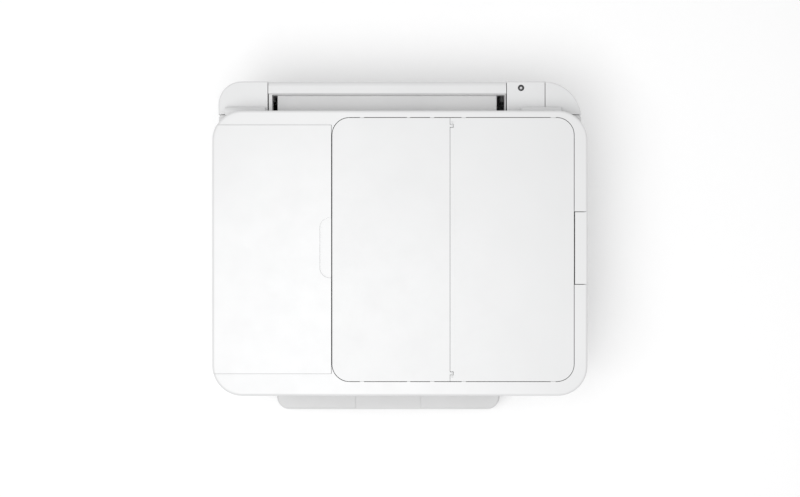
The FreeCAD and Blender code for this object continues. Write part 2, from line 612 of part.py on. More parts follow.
def output_stop():
    """Sliding page stop at the right edge of the lid, with its tongue in the groove of the lid floor."""
    side = box(TRAY_X1 + 0.6, X1 - BED_INSET, STOP_Y0, STOP_Y1, POCKET_Z + 0.8, PAN_Z1)
    outside = X1 - BED_INSET - 0.01
    edge = [e for e in side.Edges if e.BoundBox.XMin > outside and e.BoundBox.ZMin > PAN_Z1 - 0.01]
    side = side.makeFillet(2.4, edge)
    hollow = box(TRAY_X1 - 1, X1 - BED_INSET - WALL, STOP_Y0 + WALL, STOP_Y1 - WALL, POCKET_Z + 0.8 + STOP_T,
                 PAN_Z1 - WALL)
    tongue = box(STOP_X0, TRAY_X1 + 6, STOP_Y0 + STOP_INSET, STOP_Y1 - STOP_INSET, POCKET_Z - 1.2,
                 POCKET_Z + 0.8)
    return cut(fuse(side, tongue), hollow)


# Document tray and flap

TRAY_PLATE_Z = PAN_Z1 - 19.0
TRAY_PLATE_T = 2.6
TRAY_TOP_T = 3.0
FLAP_X = TRAY_X0 + FLAP_WIDTH
FLAP_AXIS_X = FLAP_X + 2.2
FLAP_AXIS_Z = PAN_Z1 - 0.8
FLAP_PIN_R = 0.7
KNUCKLE_R = 1.3
KNUCKLE_W = 3.0
GUIDE_HALF = GLASS_HALF - 2.0
GUIDE_X0 = TRAY_X0 + 30.0
GUIDE_X1 = TRAY_X0 + 105.0


def tray_outline(inset, za, zb):
    return slab(TRAY_X0 + inset, TRAY_X1 - inset, TRAY_Y0 + inset, TRAY_Y1 - inset, za, zb,
                [TRAY_CORNER_R - inset] * 4)


def knuckle_ys():
    """Front and rear ends of the flap hinge: outer face of the tray knuckle, and the way inwards."""
    return ((TRAY_Y0 + 5.0, 1), (TRAY_Y1 - 5.0, -1))


def span(y, way, near, far):
    """A stretch of y from near to far, counted from y in the given way."""
    ends = (y + way * near, y + way * far)
    return min(ends), max(ends)


def tray_knuckles():
    """Ears and pins of the flap hinge, and the notches that free the flap's own knuckles."""
    ears = []
    notches = []
    for y, way in knuckle_ys():
        ya, yb = span(y, way, 0, KNUCKLE_W)
        pin_a, pin_b = span(y, way, 0, 2 * KNUCKLE_W + 1)
        free_a, free_b = span(y, way, KNUCKLE_W, 2 * KNUCKLE_W + 1.4)
        ears.append(rod_y(ya, yb, FLAP_AXIS_X, FLAP_AXIS_Z, KNUCKLE_R))
        ears.append(rod_y(pin_a, pin_b, FLAP_AXIS_X, FLAP_AXIS_Z, FLAP_PIN_R))
        notches.append(box(FLAP_X - 1, FLAP_X + 4, free_a, free_b, PAN_Z1 - 2.6, PAN_Z1 + 1))
    return ears, notches


def document_tray():
    """Lower plate with side walls, closed by a top over its right half."""
    gap = SEAM
    outer = tray_outline(gap, TRAY_PLATE_Z, PAN_Z1)
    inner_z = TRAY_PLATE_Z + TRAY_PLATE_T
    lower = tray_outline(gap + WALL, inner_z, PAN_Z1 - TRAY_TOP_T)
    left_half = box(TRAY_X0, FLAP_X, TRAY_Y0 + WALL + gap, TRAY_Y1 - WALL - gap, inner_z, PAN_Z1 + 1)
    ledge = box(TRAY_X0, FLAP_X, TRAY_Y0, TRAY_Y1, PAN_Z1 - TRAY_TOP_T - 0.3, PAN_Z1 + 1)
    low_edge = box(TRAY_X0, TRAY_X0 + 3, TRAY_Y0 + 12, TRAY_Y1 - 12, inner_z, PAN_Z1)
    relief = box(FLAP_X, FLAP_X + 5.6, TRAY_Y0, TRAY_Y1, PAN_Z1 - 0.3, PAN_Z1 + 1)
    end = box(FLAP_X, FLAP_X + WALL, TRAY_Y0 + gap, TRAY_Y1 - gap, TRAY_PLATE_Z, PAN_Z1 - 0.3)
    slots = []
    for side in (-1, 1):
        ya, yb = span(0, side, 30, GUIDE_HALF + 7)
        slots.append(box(GUIDE_X0 + 34, GUIDE_X0 + 38, ya, yb, TRAY_PLATE_Z - 1, inner_z + 1))
    pins = [rod_y(TRAY_Y0 - 2.2, TRAY_Y0 + gap + WALL, TRAY_AXIS_X, TRAY_AXIS_Z, TRAY_PIN_R),
            rod_y(TRAY_Y1 - gap - WALL, TRAY_Y1 + 2.2, TRAY_AXIS_X, TRAY_AXIS_Z, TRAY_PIN_R)]
    ears, notches = tray_knuckles()
    body = fuse(cut(outer, lower, left_half, ledge, low_edge, relief), end)
    return fuse(cut(body, *notches, *slots), *pins, *ears)


def tray_flap():
    """Left half of the top. It swings over to the right and lengthens the tray."""
    left = TRAY_X0 + SEAM
    right = FLAP_X - 0.4
    corner = TRAY_CORNER_R - SEAM
    plate = slab(left, right, TRAY_Y0 + SEAM, TRAY_Y1 - SEAM, PAN_Z1 - TRAY_TOP_T, PAN_Z1,
                 (corner, 0, 0, corner))
    ribs = [box(left + 14, right - 14, y, y + 1.6, PAN_Z1 - TRAY_TOP_T - 1.4, PAN_Z1 - TRAY_TOP_T)
            for y in (TRAY_Y0 + 50, TRAY_Y1 - 50)]
    arms = []
    for y, way in knuckle_ys():
        ya, yb = span(y, way, KNUCKLE_W + 0.5, 2 * KNUCKLE_W + 0.5)
        barrel = rod_y(ya, yb, FLAP_AXIS_X, FLAP_AXIS_Z, KNUCKLE_R)
        web = box(right - 1, FLAP_AXIS_X, ya, yb, FLAP_AXIS_Z - KNUCKLE_R, FLAP_AXIS_Z + 0.5)
        bore = rod_y(ya - 1, yb + 1, FLAP_AXIS_X, FLAP_AXIS_Z, FLAP_PIN_R + RUNNING)
        arms.append(cut(fuse(barrel, web), bore))
    return fuse(plate, *ribs, *arms)


def document_guide(side):
    """Page guide that slides across the tray, with a foot in the slot below."""
    y = side * GUIDE_HALF
    ya = min(y, y + side * 3)
    base_z = TRAY_PLATE_Z + TRAY_PLATE_T + 0.2
    fence = box(GUIDE_X0, GUIDE_X1, ya, ya + 3, base_z, PAN_Z1 - TRAY_TOP_T - 2.2)
    sole = box(GUIDE_X0 + 8, GUIDE_X1 - 8, min(y, y - side * 14), max(y, y - side * 14), base_z, base_z + 1.2)
    key_y = y - side * 4
    key = box(GUIDE_X0 + 34.3, GUIDE_X0 + 37.7, key_y - 3, key_y + 3, TRAY_PLATE_Z - 0.4, base_z)
    return fuse(fence, sole, key)


def document_guide_front():
    return document_guide(-1)


def document_guide_rear():
    return document_guide(1)


# Document feeder

COVER_T = 3.0
COVER_GAP = SEAM / 2
COVER_Z0 = COVER_AXIS_Z - 5.5
SCOOP_W = 13.5
SCOOP_Y0 = LID_Y0 + 138.0
SCOOP_Y1 = LID_Y0 + 209.0
SCOOP_DEPTH = 1.6
SIDE_PLATE_Y = GLASS_HALF + 3.0
SIDE_PLATE_T = 3.0
GEAR_Y = SIDE_PLATE_Y + SIDE_PLATE_T + 2.0
GEAR_W = 7.0
MOUNT_Y = GEAR_Y + GEAR_W + 1.5
ADF_MODULE = 0.8
DRUM_TEETH = 40
ROLLER_TEETH = 25
IDLER_TEETH = 20
SHAFT_R = 3.0
DRUM_R = 14.0
DRUM_X = X0 + 37.0
DRUM_Z = PAN_Z0 + 17.5
SEP_Z = PAN_Z0 + 28.5
SEP_REACH = ADF_MODULE * (DRUM_TEETH + ROLLER_TEETH) / 2
SEP_X = DRUM_X + math.sqrt(SEP_REACH ** 2 - (SEP_Z - DRUM_Z) ** 2)
IDLER_X = SEP_X + ADF_MODULE * (ROLLER_TEETH + IDLER_TEETH) / 2
PICK_X = IDLER_X + ADF_MODULE * (ROLLER_TEETH + IDLER_TEETH) / 2
SEP_R = 9.0
PICK_R = 7.0
SEP_BEARING = math.degrees(math.atan2(SEP_Z - DRUM_Z, SEP_X - DRUM_X))
SEP_PHASE = meshed_phase(0, DRUM_TEETH, ROLLER_TEETH, SEP_BEARING)
IDLER_PHASE = meshed_phase(SEP_PHASE, ROLLER_TEETH, IDLER_TEETH, 0)
PICK_PHASE = meshed_phase(IDLER_PHASE, IDLER_TEETH, ROLLER_TEETH, 0)


def adf_cover():
    """Outer door of the feeder: top, left wall and two end walls with hinge pins."""
    ya = ADF_Y0 + COVER_GAP
    yb = ADF_Y1 - COVER_GAP
    xb = ADF_X1 - COVER_GAP
    outer = soften(lid_outline(0, COVER_Z0, LID_Z1), 3.0, LID_Z1)
    outer = outer.common(box(X0, xb, ya, yb, COVER_Z0, LID_Z1))
    inner = lid_outline(WALL, COVER_Z0 - 1, LID_Z1 - COVER_T)
    inner = inner.common(box(X0, xb + 1, ya + WALL, yb - WALL, COVER_Z0 - 1, LID_Z1))
    below = box(X0 + 12.5, xb + 1, ya - 1, yb + 1, COVER_Z0 - 1, PAN_Z1 - 14)
    skin = cut(outer, inner, below)
    pins = []
    for y, way in ((ya, 1), (yb, -1)):
        pins.append(rod_y(min(y - way * 3, y + way * WALL), max(y - way * 3, y + way * WALL), COVER_AXIS_X,
                          COVER_AXIS_Z, COVER_PIN_R))
    ribs = [box(xb - 36, xb - 6, y, y + 1.6, LID_Z1 - COVER_T - 3, LID_Z1 - COVER_T)
            for y in (-GLASS_HALF + 20, -GLASS_HALF / 2, GLASS_HALF / 2, GLASS_HALF - 20)]
    scoop = slab(xb - SCOOP_W, xb + 1, SCOOP_Y0, SCOOP_Y1, LID_Z1 - SCOOP_DEPTH, LID_Z1 + 1, (12, 0, 0, 12))
    return cut(fuse(skin, *pins, *ribs), scoop)


def adf_frame():
    """Feeder chassis: two side plates, the ramp for the page and the motor bracket."""
    base = PAN_Z0
    left = DRUM_X - 20.2
    right = ADF_X1 - 1.0
    top = SEP_Z + 7
    plates = [box(left, PICK_X + 12, y, y + SIDE_PLATE_T, base, top)
              for y in (-SIDE_PLATE_Y - SIDE_PLATE_T, SIDE_PLATE_Y)]
    floor = box(STRIP_X1 + 4, right, -SIDE_PLATE_Y, SIDE_PLATE_Y, base, base + 2)
    heel = box(left, STRIP_X0 - 4, -SIDE_PLATE_Y, SIDE_PLATE_Y, base, base + 2)
    profile = [(SEP_X - 4, SEP_Z - 14), (SEP_X - 4, SEP_Z - 11.5), (PICK_X, SEP_Z - 9.5),
               (right, TRAY_PLATE_Z - 0.4), (right, TRAY_PLATE_Z - 3), (PICK_X, SEP_Z - 12)]
    points = [V(x, -SIDE_PLATE_Y, z) for x, z in profile]
    ramp = Part.Face(Part.makePolygon(points + points[:1])).extrude(V(0, 2 * SIDE_PLATE_Y, 0))
    bracket = box(left, DRUM_X + 16, MOUNT_Y, MOUNT_Y + 2.5, base, top - 4)
    link = box(left, left + 2, SIDE_PLATE_Y, MOUNT_Y + 2.5, base, top - 4)
    axle = rod_y(SIDE_PLATE_Y, MOUNT_Y - 1, IDLER_X, SEP_Z, 2.5)
    stand = box(right - 3, right, -SIDE_PLATE_Y, SIDE_PLATE_Y, base, TRAY_PLATE_Z - 2)
    outlet = box(right - 4, right + 1, -GLASS_HALF + 4, GLASS_HALF - 4, base + 9, TRAY_PLATE_Z - 4)
    whole = fuse(floor, heel, ramp, bracket, link, cut(stand, outlet), *plates)
    bores = [rod_y(-SIDE_PLATE_Y - 9, SIDE_PLATE_Y + 9, x, z, SHAFT_R + RUNNING)
             for x, z in ((DRUM_X, DRUM_Z), (SEP_X, SEP_Z), (PICK_X, SEP_Z))]
    mouth = rod_y(MOUNT_Y - 1, MOUNT_Y + 4, DRUM_X, DRUM_Z, SHAFT_R + 1)
    return fuse(cut(whole, *bores, mouth), axle)


def adf_drum():
    """Full-width feed drum with its shaft and gear."""
    shaft = rod_y(-SIDE_PLATE_Y - SIDE_PLATE_T - 1, MOUNT_Y + 8, DRUM_X, DRUM_Z, SHAFT_R)
    drum = rod_y(-GLASS_HALF, GLASS_HALF, DRUM_X, DRUM_Z, DRUM_R)
    grooves = []
    for i in range(5):
        y = (i - 2) * GLASS_HALF * 0.4
        tyre = rod_y(y - 6, y + 6, DRUM_X, DRUM_Z, DRUM_R + 1)
        ring = cut(tyre, rod_y(y - 6, y + 6, DRUM_X, DRUM_Z, DRUM_R - 1.5))
        grooves.append(ring)
    wheel = gear("y", DRUM_X, DRUM_Z, GEAR_Y, GEAR_W, DRUM_TEETH, ADF_MODULE, 0)
    return fuse(cut(drum, *grooves), shaft, wheel)


def feeder_roller(x, radius, half, phase):
    shaft = rod_y(-SIDE_PLATE_Y - SIDE_PLATE_T - 1, GEAR_Y + GEAR_W, x, SEP_Z, SHAFT_R)
    tread = rod_y(-half, half, x, SEP_Z, radius)
    wheel = gear("y", x, SEP_Z, GEAR_Y, GEAR_W, ROLLER_TEETH, ADF_MODULE, phase)
    return fuse(shaft, tread, wheel)


def separation_roller():
    return feeder_roller(SEP_X, SEP_R, 22.0, SEP_PHASE)


def adf_pick_roller():
    return feeder_roller(PICK_X, PICK_R, 18.0, PICK_PHASE)


def adf_idler_gear():
    wheel = gear("y", IDLER_X, SEP_Z, GEAR_Y, GEAR_W, IDLER_TEETH, ADF_MODULE, IDLER_PHASE)
    return cut(wheel, rod_y(GEAR_Y - 1, GEAR_Y + GEAR_W + 1, IDLER_X, SEP_Z, 2.5 + RUNNING))


def adf_motor():
    can = rod_y(MOUNT_Y + 2.5, ADF_Y1 - 5, DRUM_X, DRUM_Z, 13)
    socket = rod_y(MOUNT_Y + 2, MOUNT_Y + 9, DRUM_X, DRUM_Z, SHAFT_R + RUNNING)
    return cut(can, socket)


# Paper drawer and output tray

DRAWER_X0 = BAY_X0 + 1.0
DRAWER_X1 = BAY_X1 - 1.0
DRAWER_Y1 = Y1 - 93.0
REAR_STOP_Y = DRAWER_Y1 + 1.5
DRAWER_WALL = 2.5
GUIDE_MARGIN = 42.6
RAIL_T = 3.0
RAIL_H = 12.0
TRAY_IN_X0 = BAY_X0 + 3.0
TRAY_IN_X1 = BAY_X1 - 3.0
EXT_HALF = 47.0
EXT_LIP = 3.0
EXT_Y1 = Y0 + 140.0
FLIP_HALF = 26.0
FLIP_LENGTH = 30.0
FLIP_AXIS_Y = Y0 + 54.0
FLIP_AXIS_Z = TRAY_Z1 - 1.6


def guide_x(side):
    """Inner face of a paper guide at its widest, on the left for -1 and on the right for 1."""
    return BAY_MID + side * ((DRAWER_X1 - DRAWER_X0) / 2 - GUIDE_MARGIN)


def paper_drawer():
    """Open cassette with a tall rounded front, open at the top, split rails below."""
    r = DRAWER_CORNER_R
    outer = slab(DRAWER_X0, DRAWER_X1, Y0, DRAWER_Y1, DRAWER_Z0, DRAWER_Z1, (r, r, 2, 2))
    beside = [box(xa, xb, BODY_Y0 + 3, Y1, 0, DECK_Z)
              for xa, xb in ((X0, DRAWER_X0 + 6), (DRAWER_X1 - 6, X1))]
    wide = cut(outer, *beside)
    w = DRAWER_WALL
    inner = slab(DRAWER_X0 + 6 + w, DRAWER_X1 - 6 - w, Y0 + 9, DRAWER_Y1 - w, DRAWER_Z0 + w, DRAWER_Z1 + 1,
                 (12, 12, 1, 1))
    edge = [e for e in wide.Edges if e.BoundBox.YMax < BODY_Y0 + 2 and e.BoundBox.ZMax < DRAWER_Z0 + 0.01]
    wide = wide.makeChamfer(1.2, [e for e in edge if e.BoundBox.YMin < Y0 + r + 1])
    grip = slab(BAY_MID - 45, BAY_MID + 45, Y0 - 5, Y0 + 6, DRAWER_Z0 - 1, DRAWER_Z0 + 14, (0, 0, 4, 4))
    slots = []
    for side in (-1, 1):
        far = guide_x(side) + side * 4
        near = BAY_MID + side * 30
        slots.append(box(min(far, near), max(far, near), -6, -2, DRAWER_Z0 - 1, DRAWER_Z0 + w + 1))
    return cut(wide, inner, grip, *slots)


def width_guide(side):
    """Paper width guide in the cassette: upright fence, foot and a key in the cross slot."""
    x = guide_x(side)
    xa = min(x, x + side * 2.5)
    z = DRAWER_Z0 + DRAWER_WALL + 0.2
    fence = box(xa, xa + 2.5, -46, 40, z, DRAWER_Z1 - 6)
    sole = box(min(x, x - side * 22), max(x, x - side * 22), -18, 12, z, z + 1.4)
    key_x = x - side * 6
    key = box(key_x - 4, key_x + 4, -5.7, -2.3, DRAWER_Z0 + 0.4, z)
    return fuse(fence, sole, key)


def width_guide_left():
    return width_guide(-1)


def width_guide_right():
    return width_guide(1)


def extension_space(grow, y_front, top):
    """Stepped slide section of the extension: wide at the bottom, narrower at the top."""
    half = EXT_HALF + grow
    low = TRAY_Z0 + 2.6 - grow
    mid = TRAY_Z0 + 4.6 + grow
    wide = box(BAY_MID - half, BAY_MID + half, y_front, EXT_Y1 + grow, low, mid)
    narrow = box(BAY_MID - half + EXT_LIP, BAY_MID + half - EXT_LIP, y_front, EXT_Y1 + grow, mid - 0.2, top)
    return fuse(wide, narrow)


def output_tray():
    """Shelf over the drawer that catches the printed pages, standing on the base rails."""
    r = DRAWER_CORNER_R - 2
    shelf = slab(TRAY_IN_X0, TRAY_IN_X1, Y0 + 2.5, BODY_Y0 + 110, TRAY_Z0, TRAY_Z1, (r, r, 0, 0))
    shelf = soften(shelf, 1.5, TRAY_Z1)
    leg_y0 = BODY_Y0 + 20
    leg_y1 = BODY_Y0 + 104
    legs = []
    for x, wing in ((BAY_X0, TRAY_IN_X0 + 1), (BAY_X1, TRAY_IN_X1 - 1)):
        legs.append(box(x - RAIL_T / 2, x + RAIL_T / 2, leg_y0, leg_y1, CASE_Z0 + RAIL_H, TRAY_Z0 + 3))
        legs.append(box(min(x, wing), max(x, wing), leg_y0, leg_y1, TRAY_Z0, TRAY_Z0 + 3))
    return fuse(cut(shelf, extension_space(0.25, Y0, TRAY_Z1 + 1)), *legs)


def tray_extension():
    body = extension_space(0, Y0 + 2.5, TRAY_Z1)
    half = FLIP_HALF + 0.5
    well = box(BAY_MID - half, BAY_MID + half, FLIP_AXIS_Y - FLIP_LENGTH - 0.6, FLIP_AXIS_Y + 3,
               FLIP_AXIS_Z - 1.9, TRAY_Z1 + 1)
    bore = rod_x(BAY_MID - FLIP_HALF - 4, BAY_MID + FLIP_HALF + 4, FLIP_AXIS_Y, FLIP_AXIS_Z, 1.0 + RUNNING)
    return cut(body, well, bore)


def paper_stop():
    """Flap that stands up at the end of the tray extension."""
    front = FLIP_AXIS_Y - FLIP_LENGTH
    plate = box(BAY_MID - FLIP_HALF, BAY_MID + FLIP_HALF, front, FLIP_AXIS_Y, FLIP_AXIS_Z - 1.4, TRAY_Z1)
    hub = rod_x(BAY_MID - FLIP_HALF, BAY_MID + FLIP_HALF, FLIP_AXIS_Y, FLIP_AXIS_Z, 1.6)
    pin = rod_x(BAY_MID - FLIP_HALF - 3, BAY_MID + FLIP_HALF + 3, FLIP_AXIS_Y, FLIP_AXIS_Z, 1.0)
    window = box(BAY_MID - 10, BAY_MID + 10, front + 5, FLIP_AXIS_Y - 8, TRAY_Z0, TRAY_Z1 + 1)
    return cut(fuse(plate, hub, pin), window)


# Print mechanism

MECH_Z = DOOR_Z0 - 1.0
FRAME_MARGIN = 35.0
FRAME_X = X1 - FRAME_MARGIN
SHEET = 1.5
FEED_Y = Y1 - 136.0
FEED_TEETH = 40
TRANSFER_TEETH = 27
EXIT_TEETH = 30
FEED_SHAFT_R = 4.0
FEED_R = 7.0
EXIT_R = 6.0
EXIT_SHAFT_R = 3.0
TRANSFER_Y = FEED_Y - (FEED_TEETH + TRANSFER_TEETH) / 2
EXIT_Y = TRANSFER_Y - (TRANSFER_TEETH + EXIT_TEETH) / 2
TRANSFER_PHASE = meshed_phase(0, FEED_TEETH, TRANSFER_TEETH, 180)
EXIT_PHASE = meshed_phase(TRANSFER_PHASE, TRANSFER_TEETH, EXIT_TEETH, 180)
TRAIN_X = -FRAME_X - 10.0
TRAIN_W = 6.0
AXLE_R = 2.5
ROLLER_SPAN = FRAME_X - 70.0
RAIL_Y = FEED_Y + 25.0
RAIL_Z0 = MECH_Z + 8.0
RAIL_Z1 = MECH_Z + 62.0
PULLEY_R = 6.0
PULLEY_X = FRAME_X - 20.0
PULLEY_Y = FEED_Y + 14.0
BELT_Z = MECH_Z + 48.0
BELT_W = 6.0
BELT_T = 1.0
CARRIAGE_W = 56.0
CARRIAGE_X1 = FRAME_X - 6.0
CARRIAGE_X0 = CARRIAGE_X1 - CARRIAGE_W
CARRIAGE_Y0 = FEED_Y - 54.0
CARRIAGE_Y1 = FEED_Y - 8.0
CARRIAGE_Z0 = MECH_Z + 5.0
CARRIAGE_Z1 = MECH_Z + 45.0
PICK_ARM_Y = FEED_Y - 17.0
STATION_DEPTH = 24.0
PICK_SHAFT_R = 3.0
PICK_ARM_Z = MECH_Z - STATION_DEPTH - PICK_SHAFT_R - 1.0
PICK_ROLLER_Y = PICK_ARM_Y + 33.0
PICK_ROLLER_Z = PICK_ARM_Z - 12.0
PICK_ROLLER_R = 12.0
BOARD_Y = Y1 - 28.0
BOARD_T = 1.6
BOARD_Z0 = PORT_Z - 90.0
BOARD_Z1 = PORT_Z + 50.0


def print_frame():
    """Folded steel frame: rear rail with a top flange, and a plate at each end."""
    rail = box(-FRAME_X, FRAME_X, RAIL_Y, RAIL_Y + SHEET, RAIL_Z0, RAIL_Z1)
    flange = box(-FRAME_X, FRAME_X, PULLEY_Y - 12, RAIL_Y + SHEET, RAIL_Z1 - SHEET, RAIL_Z1)
    plates = []
    for x in (-FRAME_X - SHEET, FRAME_X):
        plates.append(box(x, x + SHEET, EXIT_Y - 15, RAIL_Y + 50, CASE_Z0, RAIL_Z1))
    lighten = [box(-FRAME_X - 3, FRAME_X + 3, RAIL_Y + 8, RAIL_Y + 42, z, z + 24) for z in (40.0, 80.0)]
    axle = rod_x(-FRAME_X - 12, -FRAME_X, TRANSFER_Y, MECH_Z, AXLE_R)
    bores = [rod_x(-FRAME_X - 3, FRAME_X + 3, y, z, r + RUNNING)
             for y, z, r in ((FEED_Y, MECH_Z, FEED_SHAFT_R), (EXIT_Y, MECH_Z, EXIT_SHAFT_R),
                             (PICK_ARM_Y, PICK_ARM_Z, PICK_SHAFT_R))]
    spindles = [rod_z(RAIL_Z1 - 3, RAIL_Z1 + 1, x, PULLEY_Y, AXLE_R) for x in (-PULLEY_X, PULLEY_X)]
    return fuse(cut(fuse(rail, flange, *plates), *lighten, *bores, *spindles), axle)


def feed_shaft():
    shaft = rod_x(TRAIN_X - 8, FRAME_X + 5, FEED_Y, MECH_Z, FEED_SHAFT_R)
    treads = [rod_x(x - 18, x + 18, FEED_Y, MECH_Z, FEED_R)
              for x in (-ROLLER_SPAN + 20, 0, ROLLER_SPAN - 20)]
    wheel = gear("x", FEED_Y, MECH_Z, TRAIN_X, TRAIN_W, FEED_TEETH, 1.0, 0)
    return fuse(shaft, wheel, *treads)


def exit_shaft():
    shaft = rod_x(TRAIN_X, FRAME_X + 5, EXIT_Y, MECH_Z, EXIT_SHAFT_R)
    treads = [rod_x(x - 5, x + 5, EXIT_Y, MECH_Z, EXIT_R)
              for x in (-ROLLER_SPAN + 10, -ROLLER_SPAN / 2, 0, ROLLER_SPAN / 2, ROLLER_SPAN - 10)]
    wheel = gear("x", EXIT_Y, MECH_Z, TRAIN_X, TRAIN_W, EXIT_TEETH, 1.0, EXIT_PHASE)
    return fuse(shaft, wheel, *treads)


def transfer_gear():
    wheel = gear("x", TRANSFER_Y, MECH_Z, TRAIN_X, TRAIN_W, TRANSFER_TEETH, 1.0, TRANSFER_PHASE)
    return cut(wheel, rod_x(TRAIN_X - 1, TRAIN_X + TRAIN_W + 1, TRANSFER_Y, MECH_Z, AXLE_R + RUNNING))


def feed_motor():
    """Motor on the feed shaft, held off the frame by two studs."""
    can = rod_x(X0 + WALL + 3, TRAIN_X - 3, FEED_Y, MECH_Z, 14)
    ears = box(TRAIN_X - 3, TRAIN_X - 1.5, FEED_Y - 8, FEED_Y + 8, MECH_Z - 27, MECH_Z + 27)
    studs = [rod_x(TRAIN_X - 3, -FRAME_X - SHEET, FEED_Y, MECH_Z + z, 2.2) for z in (-24, 24)]
    socket = rod_x(TRAIN_X - 9, TRAIN_X, FEED_Y, MECH_Z, FEED_SHAFT_R + RUNNING)
    return cut(fuse(can, ears, *studs), socket)


def platen():
    base = box(-FRAME_X + 0.1, CARRIAGE_X0 - 3, CARRIAGE_Y0 + 4, CARRIAGE_Y1 - 4, MECH_Z - 8, MECH_Z - 2)
    count = 12
    pitch = 2 * ROLLER_SPAN / (count - 1)
    centres = [i * pitch - ROLLER_SPAN for i in range(count)]
    ribs = [box(x - 0.8, x + 0.8, CARRIAGE_Y0 + 6, CARRIAGE_Y1 - 6, MECH_Z - 2, MECH_Z - 0.5)
            for x in centres]
    return fuse(base, *ribs)


def service_station():
    """Parking and wiping station under the parked carriage."""
    body = box(CARRIAGE_X0 - 2.9, FRAME_X - 0.1, CARRIAGE_Y0 + 2, CARRIAGE_Y1 - 2,
               MECH_Z - STATION_DEPTH, MECH_Z - 5)
    well = box(CARRIAGE_X0 + 1, CARRIAGE_X1 - 1, CARRIAGE_Y0 + 6, CARRIAGE_Y1 - 6, MECH_Z - 20, MECH_Z - 4)
    caps = []
    for x in (CARRIAGE_X0 + 15, CARRIAGE_X1 - 15):
        block = box(x - 8, x + 8, CARRIAGE_Y0 + 10, CARRIAGE_Y1 - 12, MECH_Z - 21, MECH_Z + 1)
        caps.append(cut(block, box(x - 6, x + 6, CARRIAGE_Y0 + 12, CARRIAGE_Y1 - 14, MECH_Z - 1, MECH_Z + 2)))
    return fuse(cut(body, well), *caps)


def cartridge_bay(x, grow, za, zb):
    return box(x - 12 - grow, x + 12 + grow, CARRIAGE_Y0 + 4 - grow, CARRIAGE_Y1 - 4 + grow, za, zb)


def cartridge_xs():
    return (CARRIAGE_X0 + CARRIAGE_W * 0.25, CARRIAGE_X1 - CARRIAGE_W * 0.25)


def print_carriage():
    """Carrier for two cartridges. Its rear neck runs on the rail and hooks under the rail's lower edge."""
    body = box(CARRIAGE_X0, CARRIAGE_X1, CARRIAGE_Y0, CARRIAGE_Y1, CARRIAGE_Z0, CARRIAGE_Z1)
    neck = box(CARRIAGE_X0, CARRIAGE_X1, CARRIAGE_Y1, RAIL_Y - 0.1, MECH_Z + 22, CARRIAGE_Z1)
    drop = box(CARRIAGE_X0, CARRIAGE_X1, RAIL_Y - 5, RAIL_Y - 0.1, RAIL_Z0 - 3, CARRIAGE_Z1)
    sole = box(CARRIAGE_X0, CARRIAGE_X1, RAIL_Y - 5, RAIL_Y + SHEET + 2.5, RAIL_Z0 - 3, RAIL_Z0 - 0.1)
    hook = box(CARRIAGE_X0, CARRIAGE_X1, RAIL_Y + SHEET + 0.1, RAIL_Y + SHEET + 2.5,
               RAIL_Z0 - 3, RAIL_Z0 + 6)
    mid = (CARRIAGE_X0 + CARRIAGE_X1) / 2
    belt_face = PULLEY_Y - PULLEY_R - BELT_T
    clamp = box(mid - 6, mid + 6, belt_face - 5, belt_face - 0.1, CARRIAGE_Z1, BELT_Z + BELT_W - 1)
    holes = [cartridge_bay(x, 0.3, CARRIAGE_Z0 + 3, CARRIAGE_Z1 + 1) for x in cartridge_xs()]
    noses = [box(x - 9.3, x + 9.3, CARRIAGE_Y0 + 11.7, CARRIAGE_Y1 - 13.7, CARRIAGE_Z0 - 1, CARRIAGE_Z0 + 4)
             for x in cartridge_xs()]
    return cut(fuse(body, neck, drop, sole, hook, clamp), *holes, *noses)


def cartridge(x):
    body = cartridge_bay(x, 0, CARRIAGE_Z0 + 3.2, CARRIAGE_Z1 + 12)
    edge = [e for e in body.Edges if e.BoundBox.ZMin > CARRIAGE_Z1 + 11.9]
    body = body.makeFillet(2.0, edge)
    nose = box(x - 9, x + 9, CARRIAGE_Y0 + 12, CARRIAGE_Y1 - 14, MECH_Z + 2.5, CARRIAGE_Z0 + 4)
    return fuse(body, nose)


def cartridge_colour():
    return cartridge(cartridge_xs()[0])


def cartridge_black():
    return cartridge(cartridge_xs()[1])


def belt_loop(radius):
    ends = [rod_z(BELT_Z, BELT_Z + BELT_W, x, PULLEY_Y, radius) for x in (-PULLEY_X, PULLEY_X)]
    middle = box(-PULLEY_X, PULLEY_X, PULLEY_Y - radius, PULLEY_Y + radius, BELT_Z, BELT_Z + BELT_W)
    return fuse(*ends, middle)


def carriage_belt():
    return cut(belt_loop(PULLEY_R + BELT_T), belt_loop(PULLEY_R + RUNNING))


def pulley(x, top):
    drum = rod_z(BELT_Z - 0.3, BELT_Z + BELT_W + 0.3, x, PULLEY_Y, PULLEY_R)
    rims = [rod_z(z, z + 0.8, x, PULLEY_Y, PULLEY_R + 1.5) for z in (BELT_Z - 1.1, BELT_Z + BELT_W + 0.3)]
    shaft = rod_z(BELT_Z, top, x, PULLEY_Y, AXLE_R - RUNNING)
    flat = box(x + 4, x + 8, PULLEY_Y - 1, PULLEY_Y + 1, BELT_Z + BELT_W + 0.2, BELT_Z + BELT_W + 2)
    return cut(fuse(drum, shaft, *rims), flat)


def drive_pulley():
    return pulley(-PULLEY_X, RAIL_Z1 + 6)


def idler_pulley():
    return pulley(PULLEY_X, RAIL_Z1 + 0.6)


def carriage_motor():
    can = rod_z(RAIL_Z1, RAIL_Z1 + 17, -PULLEY_X, PULLEY_Y, 12)
    return cut(can, rod_z(RAIL_Z1 - 1, RAIL_Z1 + 8, -PULLEY_X, PULLEY_Y, AXLE_R))


